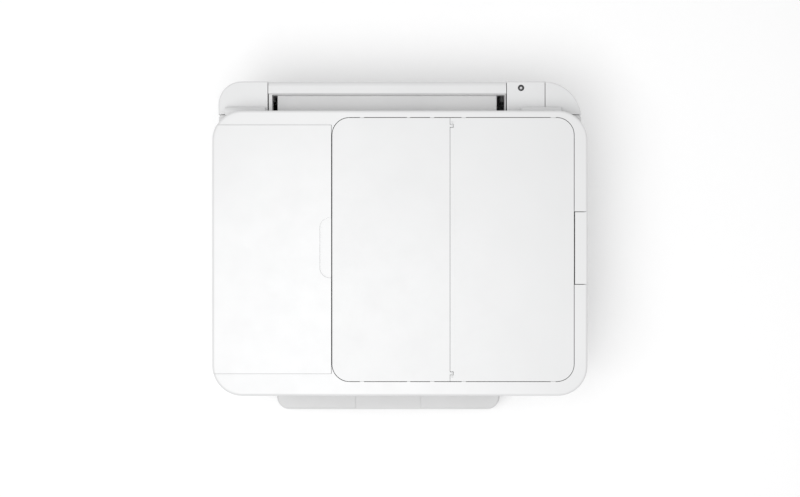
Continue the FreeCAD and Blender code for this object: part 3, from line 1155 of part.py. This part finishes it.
def pick_arm():
    """Cross shaft with the swinging arm that carries the paper pick roller."""
    shaft = rod_x(-FRAME_X - 4, FRAME_X + 4, PICK_ARM_Y, PICK_ARM_Z, 3.0)
    dy = PICK_ROLLER_Y - PICK_ARM_Y
    dz = PICK_ROLLER_Z - PICK_ARM_Z
    length = math.sqrt(dy * dy + dz * dz)
    tilt = math.degrees(math.atan2(dz, dy))
    cheeks = []
    for x in (BAY_MID - 13, BAY_MID + 10):
        eyes = (rod_x(x, x + 3, 0, 0, 6), rod_x(x, x + 3, length, 0, 5))
        cheek = fuse(box(x, x + 3, 0, length, -5, 5), *eyes)
        cheek.rotate(V(0, 0, 0), V(1, 0, 0), tilt)
        cheek.translate(V(0, PICK_ARM_Y, PICK_ARM_Z))
        cheeks.append(cheek)
    bore = rod_x(BAY_MID - 15, BAY_MID + 15, PICK_ROLLER_Y, PICK_ROLLER_Z, AXLE_R + RUNNING)
    return cut(fuse(shaft, *cheeks), bore)


def pick_roller():
    tread = rod_x(BAY_MID - 9, BAY_MID + 9, PICK_ROLLER_Y, PICK_ROLLER_Z, PICK_ROLLER_R)
    return fuse(tread, rod_x(BAY_MID - 14, BAY_MID + 14, PICK_ROLLER_Y, PICK_ROLLER_Z, AXLE_R))


# Electrics


def main_board():
    """Circuit board behind the rear block, with the data sockets soldered to it."""
    left = COVER_X1 + 5
    right = BLOCK_X1 - 5
    mid = (COVER_X1 + BLOCK_X1) / 2
    board = box(left, right, BOARD_Y, BOARD_Y + BOARD_T, BOARD_Z0, BOARD_Z1)
    shells = []
    for z, width, height in ((PORT_Z, USB_W - 0.6, USB_H - 0.6), (NET_Z, NET_W - 0.6, NET_H - 0.6)):
        shells.append(box(mid - width / 2, mid + width / 2, BOARD_Y + BOARD_T, Y1 - 1,
                          z - height / 2, z + height / 2))
    usb, net = shells
    usb = cut(usb, box(mid - 4.3, mid + 4.3, Y1 - 10, Y1, PORT_Z - 4, PORT_Z + 4))
    net = cut(net, box(mid - 6, mid + 6, Y1 - 12, Y1, NET_Z - 4.5, NET_Z + 4))
    chips = [box(left + 6, left + 22, BOARD_Y - 2, BOARD_Y, z, z + 16)
             for z in (BOARD_Z0 + 14, BOARD_Z0 + 50)]
    plugs = [box(left + 4, right - 4, BOARD_Y - 6, BOARD_Y, BOARD_Z1 - z, BOARD_Z1 - z + 5)
             for z in (12, 26)]
    return fuse(board, usb, net, *chips, *plugs)


def power_supply():
    left = X0 + WALL + 2.5
    can = box(left, -FRAME_X - SHEET - 2, EXIT_Y - 10, EXIT_Y + 110, CASE_Z0 + 6.2, MECH_Z - 40)
    feet = [box(left + 7, left + 15, y, y + 8, CASE_Z0, CASE_Z0 + 6.2) for y in (EXIT_Y, EXIT_Y + 90)]
    return fuse(can, *feet)


def power_inlet():
    """Two-pin mains inlet set in the back wall."""
    face = slab(INLET_X - INLET_W / 2 + 0.2, INLET_X + INLET_W / 2 - 0.2, Y1 - 24, Y1 - 0.4,
                INLET_Z - INLET_H / 2 + 0.2, INLET_Z + INLET_H / 2 - 0.2, (0, 0, 0, 0))
    well = box(INLET_X - 8.5, INLET_X + 8.5, Y1 - 16, Y1 + 1, INLET_Z - 4, INLET_Z + 4)
    pins = [rod_y(Y1 - 17, Y1 - 5, INLET_X + side * 4.3, INLET_Z, 1.2) for side in (-1, 1)]
    return fuse(cut(face, well), *pins)


PARTS = {
    "base_pan": base_pan,
    "rubber_feet": rubber_feet,
    "left_side_cover": left_side_cover,
    "right_side_cover": right_side_cover,
    "rear_block": rear_block,
    "deck_screw": deck_screw,
    "rear_cover": rear_cover,
    "deck_recess": deck_recess,
    "right_hinge_housing": right_hinge_housing,
    "lid_hinge_pins": lid_hinge_pins,
    "front_frame": front_frame,
    "front_door": front_door,
    "control_panel": control_panel,
    "touch_screen": touch_screen,
    "power_button": power_button,
    "scanner_bed": scanner_bed,
    "scanner_bezel": scanner_bezel,
    "platen_glass": platen_glass,
    "adf_glass_strip": adf_glass_strip,
    "scan_head": scan_head,
    "lid_pan": lid_pan,
    "lid_frame": lid_frame,
    "lid_backing": lid_backing,
    "output_stop": output_stop,
    "document_tray": document_tray,
    "tray_flap": tray_flap,
    "document_guide_front": document_guide_front,
    "document_guide_rear": document_guide_rear,
    "adf_cover": adf_cover,
    "adf_frame": adf_frame,
    "adf_drum": adf_drum,
    "separation_roller": separation_roller,
    "adf_pick_roller": adf_pick_roller,
    "adf_idler_gear": adf_idler_gear,
    "adf_motor": adf_motor,
    "paper_drawer": paper_drawer,
    "width_guide_left": width_guide_left,
    "width_guide_right": width_guide_right,
    "output_tray": output_tray,
    "tray_extension": tray_extension,
    "paper_stop": paper_stop,
    "print_frame": print_frame,
    "feed_shaft": feed_shaft,
    "exit_shaft": exit_shaft,
    "transfer_gear": transfer_gear,
    "feed_motor": feed_motor,
    "platen": platen,
    "service_station": service_station,
    "print_carriage": print_carriage,
    "cartridge_black": cartridge_black,
    "cartridge_colour": cartridge_colour,
    "carriage_belt": carriage_belt,
    "drive_pulley": drive_pulley,
    "idler_pulley": idler_pulley,
    "carriage_motor": carriage_motor,
    "pick_arm": pick_arm,
    "pick_roller": pick_roller,
    "main_board": main_board,
    "power_supply": power_supply,
    "power_inlet": power_inlet,
}

os.makedirs("parts", exist_ok=True)
for name, make in PARTS.items():
    make().exportStep("parts/" + name + ".step")
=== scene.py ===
import json
import math

import bmesh
import bpy
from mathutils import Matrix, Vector


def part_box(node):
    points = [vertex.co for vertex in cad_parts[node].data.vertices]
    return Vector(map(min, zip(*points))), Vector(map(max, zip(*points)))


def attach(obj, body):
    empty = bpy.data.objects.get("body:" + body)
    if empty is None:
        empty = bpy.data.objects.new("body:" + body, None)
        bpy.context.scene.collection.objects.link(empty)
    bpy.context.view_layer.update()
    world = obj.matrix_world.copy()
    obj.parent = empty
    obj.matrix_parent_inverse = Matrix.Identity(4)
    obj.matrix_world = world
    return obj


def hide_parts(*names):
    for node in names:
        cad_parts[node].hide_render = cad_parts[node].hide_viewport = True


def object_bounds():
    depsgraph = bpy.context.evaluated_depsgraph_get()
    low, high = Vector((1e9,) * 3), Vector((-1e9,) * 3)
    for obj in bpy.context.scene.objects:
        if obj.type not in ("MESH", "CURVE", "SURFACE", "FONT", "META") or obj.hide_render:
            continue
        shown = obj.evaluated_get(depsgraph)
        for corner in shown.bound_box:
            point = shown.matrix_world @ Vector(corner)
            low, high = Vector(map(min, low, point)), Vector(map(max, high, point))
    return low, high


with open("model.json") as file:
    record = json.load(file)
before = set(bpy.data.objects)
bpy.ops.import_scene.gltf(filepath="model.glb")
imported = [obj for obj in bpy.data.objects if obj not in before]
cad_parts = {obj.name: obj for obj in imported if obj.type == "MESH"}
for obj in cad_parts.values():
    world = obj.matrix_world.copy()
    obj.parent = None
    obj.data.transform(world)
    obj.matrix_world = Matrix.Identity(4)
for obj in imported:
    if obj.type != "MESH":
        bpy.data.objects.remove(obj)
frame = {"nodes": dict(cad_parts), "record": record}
CAD_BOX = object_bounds()
NODES = frame["nodes"]
MM = 0.001

FLOOR_HALF = 3.0
KEY_PLACE = (-0.27, -0.24, 2.22)
KEY_SIZE = (1.05, 1.05)
KEY_POWER = 24.5
AIR_STRENGTH = 0.64
VIEW_PLACE = (0.0, 0.0085, 1.618)
VIEW_LENS = 51.6


# Shader helpers


class Signal:
    """A value running through a finish, with ordinary arithmetic."""

    def __init__(self, finish, socket):
        self.finish = finish
        self.socket = socket

    def maths(self, operation, *values, clamp=False):
        sockets = {i: v for i, v in enumerate(values)}
        node = self.finish.node("ShaderNodeMath", {"operation": operation, "use_clamp": clamp}, sockets)
        return Signal(self.finish, node.outputs[0])

    def __add__(self, other):
        return self.maths("ADD", self, other)

    __radd__ = __add__

    def __sub__(self, other):
        return self.maths("SUBTRACT", self, other)

    def __rsub__(self, other):
        return self.maths("SUBTRACT", other, self)

    def __mul__(self, other):
        return self.maths("MULTIPLY", self, other)

    __rmul__ = __mul__

    def __truediv__(self, other):
        return self.maths("DIVIDE", self, other)

    def __pow__(self, other):
        return self.maths("POWER", self, other)

    def above(self, edge, soft=0.0):
        if soft == 0.0:
            return self.maths("GREATER_THAN", self, edge)
        return ((self - edge) / soft + 0.5).held()

    def held(self):
        return self.maths("ADD", self, 0.0, clamp=True)

    def sine(self):
        return self.maths("SINE", self)

    def size(self):
        return self.maths("ABSOLUTE", self)


class Finish:
    """One material, built on a single surface shader."""

    def __init__(self, name):
        self.material = bpy.data.materials.new(name)
        self.material.use_nodes = True
        self.tree = self.material.node_tree
        self.surface = self.tree.nodes["Principled BSDF"]
        self.point = self.node("ShaderNodeTexCoord").outputs["Object"]
        parts = self.node("ShaderNodeSeparateXYZ", {}, {0: self.point})
        self.x, self.y, self.z = [Signal(self, s) for s in parts.outputs]

    def feed(self, socket, value):
        if isinstance(value, Signal):
            value = value.socket
        if isinstance(value, bpy.types.NodeSocket):
            self.tree.links.new(value, socket)
        else:
            socket.default_value = value

    def node(self, kind, settings=None, sockets=None):
        made = self.tree.nodes.new(kind)
        for key, value in (settings or {}).items():
            setattr(made, key, value)
        for key, value in (sockets or {}).items():
            self.feed(made.inputs[key], value)
        return made

    def noise(self, scale, detail=2.0, roughness=0.5, stretch=None):
        point = self.point
        if stretch:
            point = self.node("ShaderNodeMapping", {}, {"Vector": point, "Scale": stretch}).outputs[0]
        made = self.node("ShaderNodeTexNoise", {}, {"Vector": point, "Scale": scale, "Detail": detail,
                                                    "Roughness": roughness})
        return Signal(self, made.outputs["Fac"])

    def cells(self, scale):
        made = self.node("ShaderNodeTexVoronoi", {"feature": "F1"},
                         {"Vector": self.point, "Scale": scale})
        return Signal(self, made.outputs["Distance"])

    def blend(self, share, first, second):
        made = self.node("ShaderNodeMix", {"data_type": "RGBA"}, {0: share, 6: first, 7: second})
        return made.outputs[2]

    def bump(self, height, strength, distance):
        made = self.node("ShaderNodeBump", {},
                         {"Height": height, "Strength": strength, "Distance": distance})
        return made.outputs["Normal"]

    def set(self, **sockets):
        for key, value in sockets.items():
            self.feed(self.surface.inputs[key.replace("_", " ")], value)
        return self


def shade(colour, factor):
    return tuple(min(1.0, c * factor) for c in colour[:3]) + (1.0,)


def moulded(name, colour, roughness, grain=1400.0, relief=0.00002, tone=0.06):
    """Injection-moulded plastic: spark-eroded grain, faint flow tone and handling smears."""
    f = Finish(name)
    grain_field = f.noise(grain, 3.0, 0.65)
    flow = f.noise(7.0, 2.0, 0.5)
    smear = f.noise(38.0, 4.0, 0.6)
    base = f.blend(flow, shade(colour, 1.0 - tone), shade(colour, 1.0 + tone * 0.3))
    base = f.blend((smear - 0.45).held() * 0.25, base, shade(colour, 0.93))
    rough = roughness + (smear - 0.5) * 0.12 + (grain_field - 0.5) * 0.08
    return f.set(Base_Color=base, Roughness=rough.held(), Normal=f.bump(grain_field, 0.35, relief))


def rubber(name, colour):
    """Black rubber with fine pores and a little dust."""
    f = Finish(name)
    pores = f.cells(2200.0)
    dust = f.noise(60.0, 5.0, 0.7)
    base = f.blend((dust - 0.45).held() * 0.6, shade(colour, 1.0), shade(colour, 1.9))
    return f.set(Base_Color=base, Roughness=(0.74 + (dust - 0.5) * 0.2).held(),
                 Normal=f.bump(pores, 0.4, 0.00004))


def brushed(name, colour, along, roughness=0.34):
    """Rolled or drawn metal with fine lines along one axis."""
    f = Finish(name)
    squeeze = [900.0, 900.0, 900.0]
    squeeze[along] = 14.0
    lines = f.noise(1.0, 2.0, 0.6, tuple(squeeze))
    bloom = f.noise(22.0, 4.0, 0.6)
    base = f.blend(bloom, shade(colour, 0.86), shade(colour, 1.08))
    rough = (roughness + (lines - 0.5) * 0.22 + (bloom - 0.5) * 0.12).held()
    return f.set(Base_Color=base, Metallic=1.0, Roughness=rough, Normal=f.bump(lines, 0.25, 0.00001))


def roller(name, along, centre, tread_radius, gear_from, gear_way, tread=(0.10, 0.10, 0.11)):
    """A steel shaft with rubber treads and a white gear at one end, told apart by where they are."""
    f = Finish(name)
    spots = [f.x, f.y, f.z]
    across = [i for i in range(3) if i != along]
    da = spots[across[0]] - centre[across[0]]
    db = spots[across[1]] - centre[across[1]]
    radius = (da * da + db * db) ** 0.5
    on_tread = radius.above(tread_radius)
    on_gear = (spots[along] * gear_way).above(gear_from * gear_way)
    lines = f.noise(1.0, 2.0, 0.6, (30.0, 1200.0, 1200.0) if along == 0 else (1200.0, 30.0, 1200.0))
    pores = f.cells(1800.0)
    dust = f.noise(70.0, 4.0, 0.65)
    steel = f.blend(dust, (0.45, 0.46, 0.47, 1.0), (0.62, 0.63, 0.64, 1.0))
    black = f.blend((dust - 0.4).held(), shade(tread, 1.0), shade(tread, 2.4))
    acetal = f.blend(dust, (0.74, 0.72, 0.66, 1.0), (0.84, 0.83, 0.78, 1.0))
    base = f.blend(on_gear, f.blend(on_tread, steel, black), acetal)
    soft = 1.0 - (1.0 - on_tread) * (1.0 - on_gear)
    rough = 0.28 + on_tread * 0.45 + on_gear * 0.12 + (lines - 0.5) * 0.1
    height = lines * (1.0 - soft) + pores * soft
    return f.set(Base_Color=base, Metallic=(1.0 - soft).held(), Roughness=rough.held(),
                 Normal=f.bump(height, 0.3, 0.00003))


def clear_glass(name, tint):
    """Float glass with a thin film of haze and a few specks of lint."""
    f = Finish(name)
    film = f.noise(18.0, 4.0, 0.6)
    lint = f.cells(240.0)
    rough = 0.02 + (film - 0.5).held() * 0.08 + (0.06 - lint).held() * 0.8
    base = f.blend(film, shade(tint, 0.98), shade(tint, 1.0))
    return f.set(Base_Color=base, Roughness=rough.held(), Transmission_Weight=0.92, IOR=1.5)


def screen_face(name, low, high):
    """Dark cover glass over a display: a faint grid of round touch keys under it."""
    f = Finish(name)
    width = high.x - low.x
    height = high.z - low.z
    columns, rows = 5.0, 2.0
    u = (f.x - low.x) * (columns / width)
    v = (f.z - low.z) * (rows / height)
    du = u.maths("FRACT", u) - 0.5
    dv = v.maths("FRACT", v) - 0.5
    reach = (du * du + dv * dv) ** 0.5
    disc = 1.0 - reach.above(0.27, 0.03)
    ring = disc * reach.above(0.19, 0.03)
    frame_x = ((f.x - (low.x + high.x) / 2).size() / (width / 2)).above(0.94, 0.01)
    frame_z = ((f.z - (low.z + high.z) / 2).size() / (height / 2)).above(0.86, 0.02)
    rim = (frame_x + frame_z).held()
    mark = ring * (1.0 - rim)
    haze = f.noise(45.0, 4.0, 0.6)
    lit = f.blend(mark, (0.016, 0.020, 0.028, 1.0), (0.10, 0.26, 0.36, 1.0))
    base = f.blend(rim, lit, (0.008, 0.008, 0.009, 1.0))
    base = f.blend((haze - 0.5).held() * 0.15, base, (0.10, 0.10, 0.11, 1.0))
    return f.set(Base_Color=base, Roughness=(0.09 + (haze - 0.5).held() * 0.18).held(), Coat_Weight=1.0,
                 Normal=f.bump(haze, 0.05, 0.00002))


def circuit(name):
    """Green board: copper tracks under the mask, darker parts standing on it."""
    f = Finish(name)
    a = f.noise(1.0, 1.0, 0.4, (60.0, 20.0, 520.0))
    b = f.noise(1.0, 1.0, 0.4, (520.0, 20.0, 60.0))
    tracks = (a.above(0.55, 0.02) + b.above(0.58, 0.02)).held()
    pads = 1.0 - f.cells(330.0).above(0.18, 0.03)
    board = f.blend(tracks, (0.012, 0.10, 0.045, 1.0), (0.03, 0.20, 0.09, 1.0))
    board = f.blend(pads * 0.8, board, (0.60, 0.52, 0.30, 1.0))
    low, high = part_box("main_board")
    back = high.y - 25 * MM
    front = low.y + 5.9 * MM
    metal = f.y.above(back + 2 * MM)
    part = 1.0 - f.y.above(front)
    grain_field = f.noise(900.0, 3.0, 0.6)
    moulding = f.blend(grain_field, (0.02, 0.02, 0.022, 1.0), (0.05, 0.05, 0.055, 1.0))
    base = f.blend(part, board, moulding)
    base = f.blend(metal, base, (0.58, 0.58, 0.57, 1.0))
    rough = (0.42 + (grain_field - 0.5) * 0.3 - metal * 0.12).held()
    return f.set(Base_Color=base, Metallic=metal, Roughness=rough,
                 Normal=f.bump(tracks + pads, 0.3, 0.00003))


def dark_screw(name):
    """Blackened screw head with a bare, bright drive recess in its middle."""
    f = Finish(name)
    low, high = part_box("deck_screw")
    dx = f.x - (low.x + high.x) / 2
    dy = f.y - (low.y + high.y) / 2
    reach = (dx * dx + dy * dy) ** 0.5
    bare = 1.0 - reach.above(1.5 * MM, 0.5 * MM)
    scuff = f.noise(900.0, 4.0, 0.6)
    black = f.blend(scuff, (0.02, 0.02, 0.022, 1.0), (0.07, 0.07, 0.072, 1.0))
    base = f.blend(bare, black, (0.55, 0.55, 0.56, 1.0))
    return f.set(Base_Color=base, Metallic=0.6, Roughness=(0.42 + (scuff - 0.5) * 0.3).held(),
                 Normal=f.bump(scuff, 0.2, 0.00002))


def foam_sheet(name):
    """White film over foam, with a fine cell pattern and a soft sheen."""
    f = Finish(name)
    weave = f.cells(1500.0)
    cloud = f.noise(14.0, 4.0, 0.6)
    base = f.blend(cloud, (0.84, 0.84, 0.83, 1.0), (0.92, 0.92, 0.91, 1.0))
    return f.set(Base_Color=base, Roughness=(0.62 + (cloud - 0.5) * 0.2).held(), Sheen_Weight=0.15,
                 Normal=f.bump(weave, 0.25, 0.00005))


def ribbed_belt(name):
    """Black toothed belt, ribbed across its length."""
    f = Finish(name)
    pitch = 2.0 * MM
    ribs = (f.x * (2.0 * math.pi / pitch)).sine()
    dust = f.noise(80.0, 4.0, 0.6)
    base = f.blend(dust, (0.025, 0.025, 0.027, 1.0), (0.07, 0.07, 0.072, 1.0))
    return f.set(Base_Color=base, Roughness=(0.7 + (dust - 0.5) * 0.2).held(),
                 Normal=f.bump(ribs, 0.5, 0.0002))


WHITE = (0.692, 0.694, 0.697)
FINISHES = {
    "white_shell": moulded("white shell plastic", WHITE, 0.36),
    "grey_shell": moulded("pale grey plastic", (0.668, 0.668, 0.67), 0.44, tone=0.08),
    "tray_white": moulded("tray plastic", (0.687, 0.689, 0.692), 0.40, grain=1100.0),
    "dark_inner": moulded("dark chassis plastic", (0.035, 0.036, 0.039), 0.50, tone=0.25),
    "mid_inner": moulded("grey chassis plastic", (0.20, 0.205, 0.21), 0.48, tone=0.15),
    "button_grey": moulded("button plastic", (0.36, 0.37, 0.38), 0.34),
    "gear_white": moulded("acetal", (0.80, 0.79, 0.74), 0.38, grain=700.0),
    "ink_black": moulded("black cartridge plastic", (0.018, 0.018, 0.020), 0.38, tone=0.3),
    "ink_colour": moulded("blue-grey cartridge plastic", (0.09, 0.12, 0.19), 0.38, tone=0.2),
    "foot_rubber": rubber("foot rubber", (0.03, 0.03, 0.031)),
    "roller_rubber": rubber("roller rubber", (0.06, 0.06, 0.063)),
    "steel": brushed("zinc-plated steel", (0.62, 0.64, 0.66), 0),
    "motor_can": brushed("drawn motor can", (0.46, 0.46, 0.47), 2, 0.30),
    "clear_glass": clear_glass("bed glass", (0.90, 0.95, 0.93)),
    "screen_glass": screen_face("touch screen face", *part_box("touch_screen")),
    "board_green": circuit("circuit board"),
    "pad_foam": foam_sheet("white backing film"),
}


def middle(node, axis):
    low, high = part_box(node)
    return (low[axis] + high[axis]) / 2


def shaft_centre(node):
    """Centre of a round piece from its box, which its gear or tread makes symmetrical."""
    return tuple(middle(node, i) for i in range(3))


def shaft_finishes():
    """Steel shaft, rubber tread and white gear for each piece that turns."""
    made = {}
    for node in ("adf_drum", "separation_roller", "adf_pick_roller"):
        gear_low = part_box("adf_idler_gear")[0].y - 0.4 * MM
        made[node] = roller(node.replace("_", " ") + " finish", 1, shaft_centre(node), 3.4 * MM,
                            gear_low, 1.0)
    for node in ("feed_shaft", "exit_shaft"):
        gear_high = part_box("transfer_gear")[1].x + 0.4 * MM
        made[node] = roller(node.replace("_", " ") + " finish", 0, shaft_centre(node), 4.4 * MM,
                            gear_high, -1.0)
    centre = shaft_centre("pick_roller")
    made["pick_roller"] = roller("pick roller finish", 0, centre, 2.9 * MM, 1.0, 1.0)
    return made


def dress_cad():
    """Give every frame node its finish, merge its facets and break its sharp edges."""
    record = frame["record"]
    slots = {row["node"]: row["material_slot"] for row in record["subparts"]}
    special = shaft_finishes()
    special["carriage_belt"] = ribbed_belt("belt rubber")
    special["deck_screw"] = dark_screw("blackened screw")
    fine = {"adf_drum", "separation_roller", "adf_pick_roller", "adf_idler_gear", "feed_shaft",
            "exit_shaft", "transfer_gear", "platen_glass", "adf_glass_strip", "touch_screen",
            "deck_screw", "carriage_belt", "main_board"}
    soft = {"paper_drawer": 1.0, "front_door": 0.8, "control_panel": 0.8, "output_tray": 0.7,
            "lid_pan": 0.7, "adf_cover": 0.7, "document_tray": 0.5, "tray_flap": 0.6,
            "output_stop": 0.7, "rear_block": 0.5, "left_side_cover": 0.5, "right_side_cover": 0.5,
            "rear_cover": 0.5, "rubber_feet": 0.6}
    for name, item in NODES.items():
        finish = special.get(name) or FINISHES[slots[name]]
        item.data.materials.clear()
        item.data.materials.append(finish.material)
        weld = item.modifiers.new("weld", "WELD")
        weld.merge_threshold = 0.004 * MM
        bevel = item.modifiers.new("edge break", "BEVEL")
        bevel.width = (0.12 if name in fine else soft.get(name, 0.3)) * MM
        bevel.segments = 1 if name in fine else 2
        bevel.limit_method = "ANGLE"
        bevel.angle_limit = math.radians(38)
        bevel.use_clamp_overlap = True
        bevel.harden_normals = False
        for polygon in item.data.polygons:
            polygon.use_smooth = True
        normals = item.modifiers.new("face weighting", "WEIGHTED_NORMAL")
        normals.keep_sharp = True
        normals.weight = 100


dress_cad()


def backing_pad():
    """Foam pad in white film: a sealed rim, a low crown and sides drawn in between the corners."""
    low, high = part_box("lid_backing")
    columns, rows = 72, 56
    draw = 0.7 * MM
    seal = 2.2 * MM
    shoulder = 2.6 * MM
    thickness = high.z - low.z
    shape = bmesh.new()
    at = {}
    for layer in (0, 1):
        for i in range(columns + 1):
            for j in range(rows + 1):
                u = i / columns
                v = j / rows
                draw_x = draw * math.sin(math.pi * v) ** 0.5
                draw_y = draw * math.sin(math.pi * u) ** 0.5
                x = low.x + draw_x + u * (high.x - low.x - 2 * draw_x)
                y = low.y + draw_y + v * (high.y - low.y - 2 * draw_y)
                edge = min(x - low.x, high.x - x, y - low.y, high.y - y)
                swell = min(1.0, max(0.0, (edge - seal) / shoulder))
                swell = swell * swell * (3 - 2 * swell)
                ripple = 0.05 * MM * math.sin(x * 61.0 + 0.8) * math.sin(y * 47.0)
                drop = thickness * (0.45 + 0.50 * swell) + ripple * swell
                z = high.z if layer else high.z - drop
                at[layer, i, j] = shape.verts.new((x, y, z))
    for i in range(columns):
        for j in range(rows):
            shape.faces.new([at[0, i, j], at[0, i, j + 1], at[0, i + 1, j + 1], at[0, i + 1, j]])
            shape.faces.new([at[1, i, j], at[1, i + 1, j], at[1, i + 1, j + 1], at[1, i, j + 1]])
    ring = [(i, 0) for i in range(columns)] + [(columns, j) for j in range(rows)]
    ring += [(i, rows) for i in range(columns, 0, -1)] + [(0, j) for j in range(rows, 0, -1)]
    for (i, j), (k, m) in zip(ring, ring[1:] + ring[:1]):
        shape.faces.new([at[0, i, j], at[0, k, m], at[1, k, m], at[1, i, j]])
    mesh = bpy.data.meshes.new("lid_backing_pad")
    shape.to_mesh(mesh)
    shape.free()
    for polygon in mesh.polygons:
        polygon.use_smooth = True
    mesh.materials.append(FINISHES["pad_foam"].material)
    item = bpy.data.objects.new("lid_backing_pad", mesh)
    bpy.context.scene.collection.objects.link(item)
    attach(item, "lid")
    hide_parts("lid_backing")


backing_pad()


# Surroundings


def floor():
    sheet = bmesh.new()
    signs = ((-1, -1), (1, -1), (1, 1), (-1, 1))
    sheet.faces.new([sheet.verts.new((x * FLOOR_HALF, y * FLOOR_HALF, 0.0)) for x, y in signs])
    mesh = bpy.data.meshes.new("floor")
    sheet.to_mesh(mesh)
    sheet.free()
    item = bpy.data.objects.new("floor", mesh)
    bpy.context.scene.collection.objects.link(item)
    f = Finish("pale sweep")
    cloud = f.noise(2.2, 3.0, 0.5)
    f.set(Base_Color=f.blend(cloud, (0.975, 0.975, 0.976, 1.0), (0.985, 0.985, 0.986, 1.0)),
          Roughness=(0.82 + (cloud - 0.5) * 0.1).held())
    mesh.materials.append(f.material)


def lamp(name, place, target, size, power):
    data = bpy.data.lights.new(name, "AREA")
    data.shape = "RECTANGLE"
    data.size, data.size_y = size
    data.energy = power
    item = bpy.data.objects.new(name, data)
    item.location = place
    item.rotation_euler = (Vector(target) - Vector(place)).to_track_quat("-Z", "Y").to_euler()
    bpy.context.scene.collection.objects.link(item)


def studio():
    world = bpy.data.worlds.new("studio air")
    bpy.context.scene.world = world
    world.use_nodes = True
    air = world.node_tree.nodes["Background"]
    air.inputs["Color"].default_value = (1.0, 1.0, 1.0, 1.0)
    air.inputs["Strength"].default_value = AIR_STRENGTH
    top = CAD_BOX[1][2]
    lamp("key", KEY_PLACE, (0.0, 0.0, top), KEY_SIZE, KEY_POWER)
    bpy.context.scene.view_settings.view_transform = "Standard"


def camera():
    data = bpy.data.cameras.new("view")
    data.sensor_width = 36.0
    data.lens = VIEW_LENS
    item = bpy.data.objects.new("view", data)
    item.location = VIEW_PLACE
    item.rotation_euler = (0.0, 0.0, 0.0)
    bpy.context.scene.collection.objects.link(item)
    bpy.context.scene.camera = item


floor()
studio()
camera()
